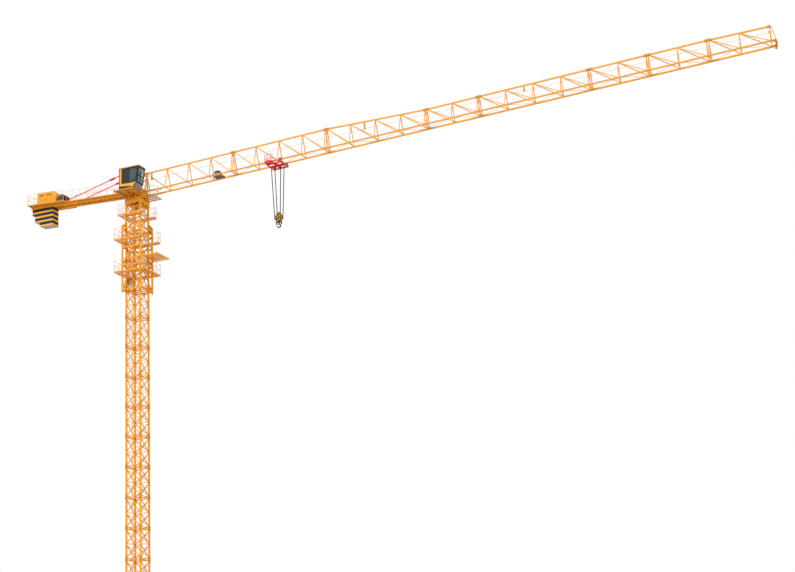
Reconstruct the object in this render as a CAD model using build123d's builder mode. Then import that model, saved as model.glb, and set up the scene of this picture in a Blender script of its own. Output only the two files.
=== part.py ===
from build123d import *
import os

os.makedirs("parts", exist_ok=True)

# Tower crane as a 1:2 model, in millimetres, origin on the ground under the mast, +X along the jib

# Gaps
joint_gap = 0.3
running_gap = 6

# Mast
section_height = 1500
section_count = 15
leg_spacing = 800
leg_size = 76
panel_margin = 60
upright_size = 16
brace_width = 38
brace_depth = 32
ring_bar_size = 46

# Foundation frame
foundation_height = 300
foot_plate_size = 380
foot_plate_thickness = 30
foot_post_size = 110
foundation_beam_width = 100
foundation_beam_height = 180
anchor_spacing = 1060
anchor_radius = 18

# Climbing frame around the mast
cage_spacing = 1084
cage_leg_size = 70
cage_beam_size = 56
cage_brace_size = 40
cage_drop = 3230
cage_height = 3400
cage_beam_rises = (130, 1385, 2340)
gusset_thickness = 24
gusset_size = 170
shoulder_height = 230
walkway_width = 278
platform_thickness = 50
lower_platform_rise = 1035
upper_platform_rise = 2725
rail_height = 560
rail_size = 12
rail_post_pitch = 880
intro_length = 924
intro_back = 390
intro_rise = 1730
intro_beam_size = 50
intro_rail_size = 36
intro_rail_count = 4
climb_spare = 60

# Hydraulic cylinder that lifts the climbing frame
cylinder_radius = 35
bore_radius = 26
rod_radius = 24
cylinder_x = -475
yoke_width = 120
yoke_height = 60
pump_length = 180
pump_width = 260
pump_height = 300
pump_y = 300

# Transition section and slewing ring
transition_height = 1450
transition_deck_drop = 650
support_height = 80
ring_radius = 450
ring_bore = 380
ring_height = 64

# Turntable and tower head
table_size = 920
table_plate = 40
table_wall = 30
table_body_x = 900
table_body_y = 700
table_height = 560
lug_width = 60
lug_height = 90
head_length = 820
head_width = 600
head_bar = 64
head_brace = 40
head_rise = 195
hatch_size = 520
motor_radius = 46
motor_height = 150
motor_xs = (-240, 160)
front_platform_length = 760

# Jib
jib_root_x = 565
jib_root_rise = 306
jib_rise = 2.0
panel = 1250
section_panels = (4, 4, 4, 2, 4, 2, 2, 2)
depth_root = 1070
depth_outer = 825
depth_tip = 765
chord_spacing = 600
chord_size = 56
top_chord_size = 60
post_size = 34
plan_size = 28
end_inset = 45
chord_trim = 5
ledge_width = 30
ledge_thickness = 8
nose_length = 180
rope_share = 0.66
bracket_us = (330, 11950, 19600)
bracket_size = 26

# Trolley, block and hook
trolley_u = 7365
trolley_length = 810
trolley_beam = 40
wheel_radius = 34
wheel_width = 24
side_plate = 12
trolley_drop = 165
rope_size = 14
fall_size = 24
sheave_radius = 80
sheave_offset = 250
sheave_width = 40
hook_hang = 2612
block_sheave_radius = 92
block_sheave_offset = 116
block_top_sheave_radius = 70
block_top_rise = 196
cheek_gap = 64
cheek_plate = 10
hook_drop = 210
hook_radius = 105
hook_width = 47
shank_radius = 20
basket_length = 360
basket_width = 250
basket_rail = 420

# Counter-jib, its rear pieces placed from the rear end
counter_root_rise = 340
counter_rise = 2.4
counter_length = 5905
counter_spacing = 460
counter_beam_width = 70
counter_beam_height = 110
counter_panel = 690
cross_beam_width = 50
deck_thickness = 24
walk_width = 780
rear_deck_width = 1240
rear_deck_length = 2280
weights_from_end = 1357
weight_thickness = 157
weight_gap = 4
weight_width = 520
weight_heights = (980, 980, 980, 980, 980, 735, 735, 345)
winch_from_end = 1855
drum_radius = 190
drum_length = 520
winch_base = 60
winch_base_length = 520
cabinet_from_end = 1545
cabinet_length = 1190
cabinet_width = 560
cabinet_height = 700
cabinet_slope = 170
tie_from_end = 2200
tie_size = 36

# Cab
cab_rear_x = -310
cab_rise = 296
cab_height = 1060
cab_width = 620
cab_inner_y = -600
cab_foot_length = 830
cab_sill_length = 1030
cab_sill_height = 210
cab_top_length = 1160
cab_wall = 30
roof_thickness = 36
roof_overhang = 26
window_rear = 560
window_sill = 250
window_frame = 60
glass_thickness = 10
door_width = 380
door_height = 880
door_sill = 70
door_thickness = 20
hinge_pin_radius = 7
hinge_lug = 34
cab_deck_rear = 340
cab_deck_thickness = 50
cab_rib_height = 90

# Levels and spans that follow
mast_base = foundation_height
mast_top = mast_base + section_count * section_height
half = leg_spacing / 2
mast_outer = half + leg_size / 2
transition_top = mast_top + transition_height
transition_deck_z = transition_top - transition_deck_drop
support_top = transition_top + support_height
table_bottom = support_top + ring_height + joint_gap
table_top = table_bottom + table_height
jib_length = panel * sum(section_panels)
cage_half = cage_spacing / 2
cage_outer = cage_half + cage_leg_size / 2
cage_bottom = mast_top - cage_drop
cage_top = cage_bottom + cage_height
lower_platform_z = cage_bottom + lower_platform_rise
upper_platform_z = cage_bottom + upper_platform_rise
platform_hole = 2 * (cage_outer + joint_gap)
platform_size = platform_hole + 2 * walkway_width
transition_hole = 2 * (mast_outer + joint_gap)
transition_deck_size = transition_hole + 2 * walkway_width
intro_z = cage_bottom + intro_rise
climb_stroke = section_height + climb_spare
jib_root_z = table_bottom + jib_root_rise
counter_root_z = table_bottom + counter_root_rise
cab_bottom = table_bottom + cab_rise
rear_deck_start = counter_length - rear_deck_length
weight_start = counter_length - weights_from_end
winch_u = counter_length - winch_from_end
cabinet_u = counter_length - cabinet_from_end
tie_u = counter_length - tie_from_end
jib_plane = Plane((jib_root_x, 0, jib_root_z)).rotated((0, -jib_rise, 0))
counter_lean = (counter_beam_height + deck_thickness) * 0.045
counter_root_x = -table_body_x / 2 - joint_gap - counter_lean
counter_plane = Plane((counter_root_x, 0, counter_root_z)).rotated((0, counter_rise, 0))


def bar(start, end, width, height=None):
    """A straight bar between two points, as wide as given and as high as given or square."""
    low, high = Vector(*start), Vector(*end)
    run = high - low
    flat = Vector(0, 0, 1).cross(run)
    side = flat.normalized() if flat.length > 1e-6 else Vector(0, 1, 0)
    up = run.normalized().cross(side)
    tall = height or width
    corner = low - side * (width / 2) - up * (tall / 2)
    return Solid.make_box(run.length, width, tall, Plane(corner, run, up))


def block(low, high):
    """A box between two corners."""
    size = [b - a for a, b in zip(low, high)]
    return Solid.make_box(*size, Plane(low))


def on(plane, point):
    """A point given along, across and above a tilted plane."""
    return tuple(plane.from_local_coords(Vector(*point)))


def railing(start, end, height, pitch):
    """A flat railing of posts, a top rail and a middle rail between two floor points."""
    low, high = Vector(*start), Vector(*end)
    run = high - low
    count = max(1, round(run.length / pitch))
    lift = Vector(0, 0, 1)
    inset = run.normalized() * (rail_size / 2)
    bars = [bar(low + lift * (height * share), high + lift * (height * share), rail_size)
            for share in (0.52, 0.98)]
    for index in range(count + 1):
        foot = low + inset + (run - inset * 2) * (index / count)
        bars.append(bar(foot, foot + lift * (height * 0.98), rail_size))
    return bars


def frame_deck(outer, inner, z, open_front=False):
    """A square deck round a square hole, with its top at z, its front strip left away where asked."""
    with BuildPart() as deck:
        with BuildSketch(Plane.XY.offset(z - platform_thickness)):
            Rectangle(outer, outer)
            Rectangle(inner, inner, mode=Mode.SUBTRACT)
            if open_front:
                with Locations((outer / 2, 0)):
                    Rectangle(outer, inner, mode=Mode.SUBTRACT)
        extrude(amount=platform_thickness)
    return deck.part


def square_railing(size, z, inner=None):
    """Railings round a square deck, one flat panel a side, or two short ones at an open front."""
    reach = size / 2 - rail_size
    end = reach - rail_size / 2 - 2
    runs = [((-reach, -reach), (reach, -reach)), ((-reach, reach), (reach, reach)),
            ((-reach, -end), (-reach, end))]
    if inner:
        start = inner / 2 + rail_size
        runs += [((reach, start), (reach, end)), ((reach, -end), (reach, -start))]
    else:
        runs.append(((reach, -end), (reach, end)))
    return [railing((*low, z), (*high, z), rail_height, rail_post_pitch) for low, high in runs]


def prism(centre, axis, radius, sides, length):
    """A many-sided roller or wheel with its middle at a point and its length along an axis."""
    with BuildSketch(Plane(Vector(*centre) - Vector(*axis) * (length / 2), z_dir=axis)) as outline:
        RegularPolygon(radius, sides)
    return Solid.extrude(outline.sketch.face(), Vector(*axis) * length)


def save(shape, name):
    shape.part.label = name
    export_step(shape.part, f"parts/{name}.step")


# Foundation frame of four feet and a grid of beams between them
with BuildPart() as foundation_frame:
    level = foundation_beam_height / 2
    pieces = []
    for at in (half, -half):
        for low, high in (((-half, -at), (half, at)), ((-half, at), (half, at)), ((at, -half), (at, half))):
            pieces.append(bar((*low, level), (*high, level), foundation_beam_width, foundation_beam_height))
    add(pieces)
    post_room, plate_room = foot_post_size + 2 * joint_gap, foot_plate_size + 2 * joint_gap
    with GridLocations(leg_spacing, leg_spacing, 2, 2):
        Box(post_room, post_room, 4 * foundation_height, mode=Mode.SUBTRACT)
        Box(plate_room, plate_room, 2 * (foot_plate_thickness + joint_gap), mode=Mode.SUBTRACT)
    for x in (-half, half):
        for y in (-half, half):
            add([block((x - foot_plate_size / 2, y - foot_plate_size / 2, 0),
                       (x + foot_plate_size / 2, y + foot_plate_size / 2, foot_plate_thickness)),
                 block((x - foot_post_size / 2, y - foot_post_size / 2, 0),
                       (x + foot_post_size / 2, y + foot_post_size / 2, foundation_height - joint_gap))])
    with GridLocations(anchor_spacing, anchor_spacing, 2, 2):
        Cylinder(anchor_radius, foot_plate_thickness * 4, mode=Mode.SUBTRACT)
save(foundation_frame, "foundation_frame")


# Lattice sides: two sides carry the legs, two are panels that fit between the legs
def crossed(near, far, low, high, lean):
    """Two crossed bars, each on its own side of the panel's centre line."""
    offset = Vector(*lean) * (brace_depth / 2 + 1)
    a, b = Vector(*near), Vector(*far)
    up_low, up_high = Vector(0, 0, low), Vector(0, 0, high)
    return [bar(a + up_low + offset, b + up_high + offset, brace_depth, brace_width),
            bar(b + up_low - offset, a + up_high - offset, brace_depth, brace_width)]


def leg_side(y, low, high, panels, rings):
    """Two legs with crossed panels and ring bars between them."""
    near, far = (-half, y, 0), (half, y, 0)
    pieces = [bar((x, y, low), (x, y, high), leg_size) for x in (-half, half)]
    for start, end in panels:
        pieces += crossed(near, far, start, end, (0, 1, 0))
    return pieces + [bar((-half, y, level), (half, y, level), ring_bar_size) for level in rings]


def infill_side(x, low, high, panels, rings):
    """Crossed panels and ring bars between two slim uprights that stand against the legs."""
    edge = half - leg_size / 2 - joint_gap
    reach = edge - upright_size * 0.8
    pieces = [bar((x, side * (edge - upright_size / 2), low), (x, side * (edge - upright_size / 2), high),
                  upright_size, 2 * brace_depth) for side in (-1, 1)]
    for start, end in panels:
        pieces += crossed((x, -reach, 0), (x, reach, 0), start, end, (1, 0, 0))
    return pieces + [bar((x, -reach, level), (x, reach, level), ring_bar_size) for level in rings]


# Mast section of four lattice sides, repeated up the mast
section_length = section_height - joint_gap
panel_low = panel_margin + brace_width
panel_mid = section_height / 2
mast_panels = [(panel_low, panel_mid - brace_width), (panel_mid + brace_width, section_height - panel_low)]
with BuildPart() as mast_section:
    for place in (-half, half):
        for side in (leg_side, infill_side):
            add(side(place, 0, section_length, mast_panels, [section_length - ring_bar_size]))

mast_groups = {"mast_lower_sections": range(0, 5), "mast_middle_sections": range(5, 10),
               "mast_upper_sections": range(10, section_count)}
for name, indices in mast_groups.items():
    with BuildPart() as mast_run:
        for index in indices:
            add(mast_section.part.moved(Location((0, 0, mast_base + index * section_height))))
    save(mast_run, name)

# Climbing cage: two braced sides, a braced back and an open front
cage_levels = [cage_bottom + rise for rise in cage_beam_rises] + [cage_top - 90]


def cage_side(y):
    pieces = []
    for x in (-cage_half, cage_half):
        pieces.append(bar((x, y, cage_bottom), (x, y, cage_top), cage_leg_size))
    for low in cage_levels:
        pieces.append(bar((-cage_half, y, low), (cage_half, y, low), cage_beam_size))
    for low, high in zip(cage_levels, cage_levels[1:]):
        pieces.append(bar((-cage_half, y, low), (0, y, high), cage_brace_size))
        pieces.append(bar((cage_half, y, low), (0, y, high), cage_brace_size))
    for side in (-1, 1):
        face_plane = Plane((0, y + gusset_thickness / 2, cage_top), x_dir=(1, 0, 0), z_dir=(0, -1, 0))
        with BuildSketch(face_plane) as plate:
            Polygon((side * cage_half, 0), (side * (cage_half - gusset_size), 0),
                    (side * (cage_half - gusset_size), -gusset_size), (side * cage_half, -2 * gusset_size),
                    align=None)
        pieces.append(Solid.extrude(plate.sketch.face(), Vector(0, -gusset_thickness, 0)))
    return pieces


with BuildPart() as cage_left_side:
    add(cage_side(-cage_half))
save(cage_left_side, "cage_left_side")

with BuildPart() as cage_right_side:
    add(cage_side(cage_half))
save(cage_right_side, "cage_right_side")

cage_inside = cage_half - cage_leg_size / 2 - joint_gap
with BuildPart() as cage_back_side:
    pieces = [bar((-cage_half, -cage_inside, low), (-cage_half, cage_inside, low), cage_beam_size)
              for low in cage_levels]
    for low, high in zip(cage_levels, cage_levels[1:]):
        pieces.append(bar((-cage_half, -cage_inside + cage_brace_size, low), (-cage_half, 0, high),
                          cage_brace_size))
        pieces.append(bar((-cage_half, cage_inside - cage_brace_size, low), (-cage_half, 0, high),
                          cage_brace_size))
    add(pieces)
save(cage_back_side, "cage_back_side")

with BuildPart() as cage_front_beams:
    for low in (cage_levels[0], cage_levels[1], cage_levels[-1]):
        add(bar((cage_half, -cage_inside, low), (cage_half, cage_inside, low), cage_beam_size))
save(cage_front_beams, "cage_front_beams")

# Two decks round the cage with their railings, the upper one open at the front
with BuildPart() as lower_platform:
    add(frame_deck(platform_size, platform_hole, lower_platform_z))
save(lower_platform, "lower_platform")

with BuildPart() as upper_platform:
    add(frame_deck(platform_size, platform_hole, upper_platform_z, open_front=True))
save(upper_platform, "upper_platform")

with BuildPart() as climbing_railings:
    for panel_bars in square_railing(platform_size, upper_platform_z + joint_gap, platform_hole):
        add(panel_bars)
    for panel_bars in square_railing(platform_size, lower_platform_z + joint_gap):
        add(panel_bars)
save(climbing_railings, "climbing_railings")

# Rails on which a new mast section is brought in, carried along the cage's sides
intro_y = cage_outer + joint_gap + intro_beam_size / 2
intro_end = cage_outer + intro_length
with BuildPart() as introduction_platform:
    pieces = []
    for y in (-intro_y, intro_y):
        pieces.append(bar((-intro_back, y, intro_z), (intro_end, y, intro_z), intro_beam_size))
    for x in (cage_outer + intro_beam_size, intro_end - intro_beam_size / 2):
        pieces.append(bar((x, -intro_y, intro_z), (x, intro_y, intro_z), intro_beam_size))
    for index in range(intro_rail_count):
        y = -intro_y + 2 * intro_y * (index + 1) / (intro_rail_count + 1)
        pieces.append(bar((cage_outer + intro_beam_size, y, intro_z),
                          (intro_end - intro_beam_size, y, intro_z), intro_rail_size))
    add(pieces)
save(introduction_platform, "introduction_platform")

# Hydraulic cylinder on the cage, its rod standing on a crosshead at the mast
rod_foot_z = mast_base + (section_count - 2) * section_height - joint_gap - ring_bar_size
cylinder_bottom = rod_foot_z + yoke_height + 20
cylinder_length = climb_stroke + 300
cylinder_end = 60
cage_back_face = -cage_half + cage_beam_size / 2 + joint_gap
ring_face = -half - ring_bar_size / 2 - joint_gap
with BuildPart() as hydraulic_cylinder:
    middle = cylinder_bottom + cylinder_length / 2
    add([prism((cylinder_x, 0, middle), (0, 0, 1), cylinder_radius, 16, cylinder_length),
         block((cage_back_face, -yoke_width / 2, cage_levels[1] - yoke_height / 2),
               (cylinder_x, yoke_width / 2, cage_levels[1] + yoke_height / 2))])
    bore_length = cylinder_length - cylinder_end
    add(prism((cylinder_x, 0, cylinder_bottom + bore_length / 2), (0, 0, 1), bore_radius, 16, bore_length),
        mode=Mode.SUBTRACT)
save(hydraulic_cylinder, "hydraulic_cylinder")

rod_length = cylinder_bottom + cylinder_length - cylinder_end - 30 - rod_foot_z
with BuildPart() as cylinder_rod:
    add([prism((cylinder_x, 0, rod_foot_z + rod_length / 2), (0, 0, 1), rod_radius, 16, rod_length),
         block((cylinder_x - rod_radius, -yoke_width, rod_foot_z - yoke_height / 2),
               (ring_face, yoke_width, rod_foot_z + yoke_height / 2))])
save(cylinder_rod, "cylinder_rod")

pump_x = -cage_outer - pump_length / 2 - running_gap
with BuildPart() as hydraulic_pump:
    pump_top = lower_platform_z - platform_thickness - joint_gap
    add(block((pump_x - pump_length / 2, pump_y - pump_width / 2, pump_top - pump_height),
              (pump_x + pump_length / 2, pump_y + pump_width / 2, pump_top)))
save(hydraulic_pump, "hydraulic_pump")

# Transition section between the mast and the slewing ring, its legs with shoulders on the cage
def shoulder(x, y):
    """An upright plate that reaches from a leg out over the cage's corner."""
    turn = Vector(x, y, 0).normalized()
    inner, outer = half * 2 ** 0.5, cage_outer * 2 ** 0.5
    upright = Plane((0, 0, cage_top + joint_gap), x_dir=turn, z_dir=turn.cross(Vector(0, 0, 1)))
    with BuildSketch(upright) as plate:
        Polygon((inner, 0), (outer, 0), (outer, shoulder_height * 0.2), (inner + leg_size, shoulder_height),
                (inner, shoulder_height), align=None)
    face = plate.sketch.face()
    return Solid.extrude(face.moved(Location(face.normal_at() * -gusset_thickness)),
                         face.normal_at() * (2 * gusset_thickness))


transition_panels = [(mast_top + panel_low, transition_deck_z - 2 * brace_width),
                     (transition_deck_z + brace_width, transition_top - 2 * brace_width)]
transition_rings = [transition_deck_z - ring_bar_size, transition_top - ring_bar_size / 2]
with BuildPart() as transition_section:
    for place in (-half, half):
        add(leg_side(place, mast_top, transition_top, transition_panels, transition_rings)
            + [shoulder(x, place) for x in (-half, half)])
        add(infill_side(place, mast_top, transition_top, transition_panels, transition_rings))
save(transition_section, "transition_section")

with BuildPart() as transition_platform:
    add(frame_deck(transition_deck_size, transition_hole, transition_deck_z, open_front=True))
save(transition_platform, "transition_platform")

with BuildPart() as transition_railings:
    for panel_bars in square_railing(transition_deck_size, transition_deck_z + joint_gap, transition_hole):
        add(panel_bars)
save(transition_railings, "transition_railings")

with BuildPart() as slewing_support:
    with BuildSketch(Plane.XY.offset(transition_top + joint_gap)):
        Rectangle(2 * mast_outer, 2 * mast_outer)
        Rectangle(hatch_size, hatch_size, mode=Mode.SUBTRACT)
    extrude(amount=support_height / 2)
    with BuildSketch(Plane.XY.offset(transition_top + support_height / 2)):
        RegularPolygon(ring_radius, 16)
        Rectangle(hatch_size, hatch_size, mode=Mode.SUBTRACT)
    extrude(amount=support_height / 2)
save(slewing_support, "slewing_support")

with BuildPart() as slewing_ring:
    with BuildSketch(Plane.XY.offset(support_top + joint_gap)):
        RegularPolygon(ring_radius, 32)
        RegularPolygon(ring_bore, 32, mode=Mode.SUBTRACT)
    extrude(amount=ring_height - joint_gap)
save(slewing_ring, "slewing_ring")

# Turntable on the ring, with lugs that meet the leaning ends of the jib's bottom chords
lean_share = 0.0175
lug_end = jib_root_x - chord_size * lean_share - joint_gap / 2
with BuildPart() as turntable:
    with BuildSketch(Plane.XY.offset(table_bottom)):
        Rectangle(table_size, table_size)
        Rectangle(hatch_size, hatch_size, mode=Mode.SUBTRACT)
    extrude(amount=table_plate)
    with BuildSketch(Plane.XY.offset(table_bottom + table_plate)):
        Rectangle(table_body_x, table_body_y)
        Rectangle(table_body_x - 2 * table_wall, table_body_y - 2 * table_wall, mode=Mode.SUBTRACT)
    extrude(amount=table_height - 2 * table_plate)
    with BuildSketch(Plane.XY.offset(table_top - table_plate)):
        Rectangle(table_body_x, table_body_y)
        Rectangle(hatch_size, hatch_size, mode=Mode.SUBTRACT)
    extrude(amount=table_plate)
    for y in (-chord_spacing / 2, chord_spacing / 2):
        add(block((table_body_x / 2 - table_wall / 2, y - lug_width / 2, jib_root_z - lug_height / 2),
                  (lug_end, y + lug_width / 2, jib_root_z + lug_height / 2)))
save(turntable, "turntable")

motor_y = -(table_body_y + table_size) / 4
motor_z = table_bottom + table_plate + joint_gap + motor_height / 2
with BuildPart() as slewing_motors:
    add([prism((x, motor_y, motor_z), (0, 0, 1), motor_radius, 12, motor_height) for x in motor_xs])
save(slewing_motors, "slewing_motors")

# Tower head that carries the jib's top chord and the tie bars
chord_root = on(jib_plane, (0, 0, depth_root))
strut_end = chord_root[0] + chord_trim - top_chord_size * lean_share - joint_gap / 2
head_front = chord_root[2] + head_bar / 2
head_rear = chord_root[2] + head_rise
with BuildPart() as tower_head:
    hx, hy = head_length / 2, head_width / 2
    cross_y = hy - head_bar / 2 - joint_gap
    base = table_top + joint_gap
    for y in (-hy, hy):
        add([bar((-hx, y, base), (-hx, y, head_rear), head_bar),
             bar((hx, y, base), (hx, y, head_front), head_bar),
             bar((-hx, y, head_rear - head_bar / 2), (hx, y, head_front - head_bar / 2), head_bar),
             bar((-hx, y, base + head_bar), (hx, y, head_front - 2 * head_bar), head_brace),
             bar((-hx, y, head_rear - head_bar), (-hx - 90, y, head_rear - head_bar), tie_size, 2 * tie_size)])
    add(bar((-hx, -cross_y, head_rear - head_bar / 2), (-hx, cross_y, head_rear - head_bar / 2), head_bar))
    add([bar((hx, -cross_y, head_front - head_bar / 2), (hx, cross_y, head_front - head_bar / 2), head_bar),
         bar((hx, 0, chord_root[2]), (strut_end, 0, chord_root[2]), head_bar)])
save(tower_head, "tower_head")

# Jib sections
def jib_depth(u):
    taper_start, taper_end = 8 * panel, 12 * panel
    if u <= taper_start:
        return depth_root
    if u <= taper_end:
        return depth_root + (depth_outer - depth_root) * (u - taper_start) / (taper_end - taper_start)
    if u <= jib_length - 2 * panel:
        return depth_outer
    return depth_outer + (depth_tip - depth_outer) * (u - jib_length + 2 * panel) / (2 * panel)


def rope_level(u):
    """Height of the hoist rope inside the jib."""
    return rope_share * (depth_root + (depth_tip - depth_root) * u / jib_length)


def jib_bar(start, end, width, height=None):
    return bar(on(jib_plane, start), on(jib_plane, end), width, height)


def jib_section(first, panels):
    start = panel * first + joint_gap / 2
    end = panel * (first + panels) - joint_gap / 2
    y_chord = chord_spacing / 2
    pieces = []
    stops = [start, end]
    if first <= 8 < first + panels and panel * 8 > start + 1:
        stops.insert(1, panel * 8)
    stops[0] += chord_trim
    stops[-1] -= chord_trim
    for a, b in zip(stops, stops[1:]):
        pieces.append(jib_bar((a, 0, jib_depth(a)), (b, 0, jib_depth(b)), top_chord_size))
    for side in (-1, 1):
        y = side * y_chord
        pieces.append(jib_bar((start, y, 0), (end, y, 0), chord_size))
        ledge_y = side * (y_chord + chord_size / 2 + ledge_width / 2 - 1)
        ledge_w = -chord_size / 2 + ledge_thickness / 2
        pieces.append(jib_bar((start, ledge_y, ledge_w), (end, ledge_y, ledge_w),
                              ledge_width + 2, ledge_thickness))
    nodes = [start + end_inset] + [panel * (first + k) for k in range(1, panels)] + [end - end_inset]
    for u in nodes:
        for side in (-1, 1):
            pieces.append(jib_bar((u, 0, jib_depth(u)), (u, side * y_chord, 0), post_size))
        pieces.append(jib_bar((u, -y_chord, 0), (u, y_chord, 0), plan_size))
    for a, b in zip(nodes, nodes[1:]):
        for side in (-1, 1):
            pieces.append(jib_bar((a, 0, jib_depth(a)), (b, side * y_chord, 0), post_size))
    for u in bracket_us:
        if start < u < end:
            pieces.append(jib_bar((u, 0, jib_depth(u)), (u, 0, rope_level(u) + rope_size / 2 + joint_gap),
                                  bracket_size))
    return pieces


first_panel = 0
for number, panels in enumerate(section_panels, 1):
    with BuildPart() as jib_run:
        pieces = jib_section(first_panel, panels)
        first_panel += panels
        if number == len(section_panels):
            tip = jib_length - joint_gap / 2
            pieces.append(jib_bar((tip - 1, 0, depth_tip), (tip + nose_length, 0, 0), post_size))
            for side in (-1, 1):
                pieces.append(jib_bar((tip - 1, side * chord_spacing / 2, 0), (tip + nose_length, 0, 0),
                                      chord_size * 0.8))
        add(pieces)
    save(jib_run, f"jib_section_{number}")

# Trolley winch on a plate across the bottom chords
winch_in_jib = 3.29 * panel
with BuildPart() as trolley_winch:
    plate_w = chord_size / 2 + joint_gap + 10
    pieces = [jib_bar((winch_in_jib - 250, 0, plate_w), (winch_in_jib + 250, 0, plate_w),
                      chord_spacing + chord_size, 20),
              jib_bar((winch_in_jib - 130, 0, plate_w + 110), (winch_in_jib + 130, 0, plate_w + 110),
                      300, 210)]
    add(pieces)
save(trolley_winch, "trolley_winch")

# Hoist rope along the jib
with BuildPart() as jib_ropes:
    rope_start, rope_end = 3 * end_inset, jib_length - end_inset - post_size
    add(jib_bar((rope_start, 0, rope_level(rope_start)), (rope_end, 0, rope_level(rope_end)), rope_size))
save(jib_ropes, "jib_ropes")

# Trolley hung from wheels on the bottom chords' ledges
wheel_y = chord_spacing / 2 + chord_size / 2 + running_gap + wheel_width / 2
wheel_w = -chord_size / 2 + ledge_thickness + wheel_radius + joint_gap
plate_y = chord_spacing / 2 + chord_size / 2 + ledge_width + running_gap + side_plate / 2
wheel_us = (trolley_u - trolley_length * 0.38, trolley_u + trolley_length * 0.38)
hanger_tall = 60
frame_w = -trolley_drop
with BuildPart() as trolley_frame:
    pieces = []
    low_u, high_u = trolley_u - trolley_length / 2, trolley_u + trolley_length / 2
    for side in (-1, 1):
        y = side * plate_y
        pieces.append(jib_bar((low_u, y, frame_w), (high_u, y, frame_w), side_plate, 90))
        mid = (frame_w + wheel_w + hanger_tall / 2) / 2
        tall = wheel_w - frame_w + hanger_tall
        for u in wheel_us:
            pieces.append(jib_bar((u - 70, y, mid), (u + 70, y, mid), side_plate, tall))
    end_us = (low_u + trolley_beam / 2, high_u - trolley_beam / 2)
    for u in (end_us[0], trolley_u - 50, trolley_u + 50, end_us[1]):
        pieces.append(jib_bar((u, -plate_y, frame_w), (u, plate_y, frame_w), trolley_beam, 60))
    for side in (-1, 1):
        y = side * (sheave_width / 2 + 24)
        pieces.append(jib_bar((end_us[0], y, frame_w), (end_us[1], y, frame_w), 16, 60))
    add(pieces)
save(trolley_frame, "trolley_frame")

axle = plate_y - side_plate / 2 - wheel_y - wheel_width / 2 - joint_gap
with BuildPart() as trolley_wheels:
    for u in wheel_us:
        for side in (-1, 1):
            centre = Vector(*on(jib_plane, (u, side * wheel_y, wheel_w)))
            stub = centre + Vector(0, side * (wheel_width + axle) / 2, 0)
            add([prism(centre, (0, side, 0), wheel_radius, 16, wheel_width),
                 prism(stub, (0, side, 0), wheel_radius / 2, 8, axle)])
save(trolley_wheels, "trolley_wheels")

trolley_point = on(jib_plane, (trolley_u, 0, frame_w))
with BuildPart() as trolley_sheaves:
    for side in (-1, 1):
        centre = on(jib_plane, (trolley_u + side * sheave_offset, 0, frame_w))
        add([prism(centre, (0, 1, 0), sheave_radius, 20, sheave_width),
             prism(centre, (0, 1, 0), sheave_radius / 4, 8, sheave_width + 32 - 2 * joint_gap)])
save(trolley_sheaves, "trolley_sheaves")

basket_y = -(plate_y + side_plate / 2 + joint_gap)
with BuildPart() as trolley_basket:
    low_u = trolley_u - trolley_length / 2
    floor_w = frame_w
    pieces = [jib_bar((low_u, basket_y - basket_width / 2, floor_w),
                      (low_u + basket_length, basket_y - basket_width / 2, floor_w), basket_width, 24)]
    for a, b in (((0, basket_width), (basket_length, basket_width)), ((0, 20), (0, basket_width)),
                 ((basket_length, 20), (basket_length, basket_width))):
        inset = rail_size / 2
        ends = [on(jib_plane, (low_u + inset + (u / basket_length) * (basket_length - 2 * inset),
                               basket_y - y + inset, floor_w)) for u, y in (a, b)]
        pieces += railing(ends[0], ends[1], basket_rail, basket_length / 2)
    add(pieces)
save(trolley_basket, "trolley_basket")

# Hook block with three sheaves, and the four rope falls
block_x, block_z = trolley_point[0], trolley_point[2] - hook_hang
cheek_points = [(-230, -96), (-70, -190), (70, -190), (230, -96), (208, 30), (74, 262), (-74, 262), (-208, 30)]
seat_low, seat_high = block_z - 188, block_z - 128
with BuildPart() as hook_block:
    for side in (-1, 1):
        y = side * (cheek_gap + cheek_plate) / 2
        cheek_plane = Plane((block_x, y - cheek_plate / 2, block_z), x_dir=(1, 0, 0), z_dir=(0, 1, 0))
        with BuildSketch(cheek_plane) as cheek:
            Polygon(*[(x, -z) for x, z in cheek_points], align=None)
        extrude(cheek.sketch, amount=cheek_plate)
    add(block((block_x - 60, -cheek_gap / 2, seat_low), (block_x + 60, cheek_gap / 2, seat_high)))
    add(prism((block_x, 0, (seat_low + seat_high) / 2), (0, 0, 1), shank_radius + 2, 16, 200),
        mode=Mode.SUBTRACT)
save(hook_block, "hook_block")

low_sheaves_z = -40
top_sheave_z = low_sheaves_z + block_top_rise
sheave_points = [(-block_sheave_offset, low_sheaves_z, block_sheave_radius),
                 (block_sheave_offset, low_sheaves_z, block_sheave_radius),
                 (0, top_sheave_z, block_top_sheave_radius)]
with BuildPart() as block_sheaves:
    for x, z, radius in sheave_points:
        centre = (block_x + x, 0, block_z + z)
        add([prism(centre, (0, 1, 0), radius, 20, cheek_gap - 2 * running_gap),
             prism(centre, (0, 1, 0), radius / 4, 8, cheek_gap - 2 * joint_gap)])
save(block_sheaves, "block_sheaves")

fall_top = trolley_point[2] - 6
fall_shift = fall_size / 2 + joint_gap
fall_tops = (sheave_offset + sheave_radius + fall_shift, sheave_offset - sheave_radius - fall_shift)
falls = [(fall_tops[0], block_sheave_offset + block_sheave_radius, low_sheaves_z),
         (fall_tops[1], block_top_sheave_radius, top_sheave_z)]
with BuildPart() as hoist_ropes:
    for top_x, low_x, low_z in falls:
        for side in (-1, 1):
            add(bar((block_x + side * (low_x + fall_shift), 0, block_z + low_z),
                    (block_x + side * top_x, 0, fall_top), fall_size))
save(hoist_ropes, "hoist_ropes")

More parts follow.
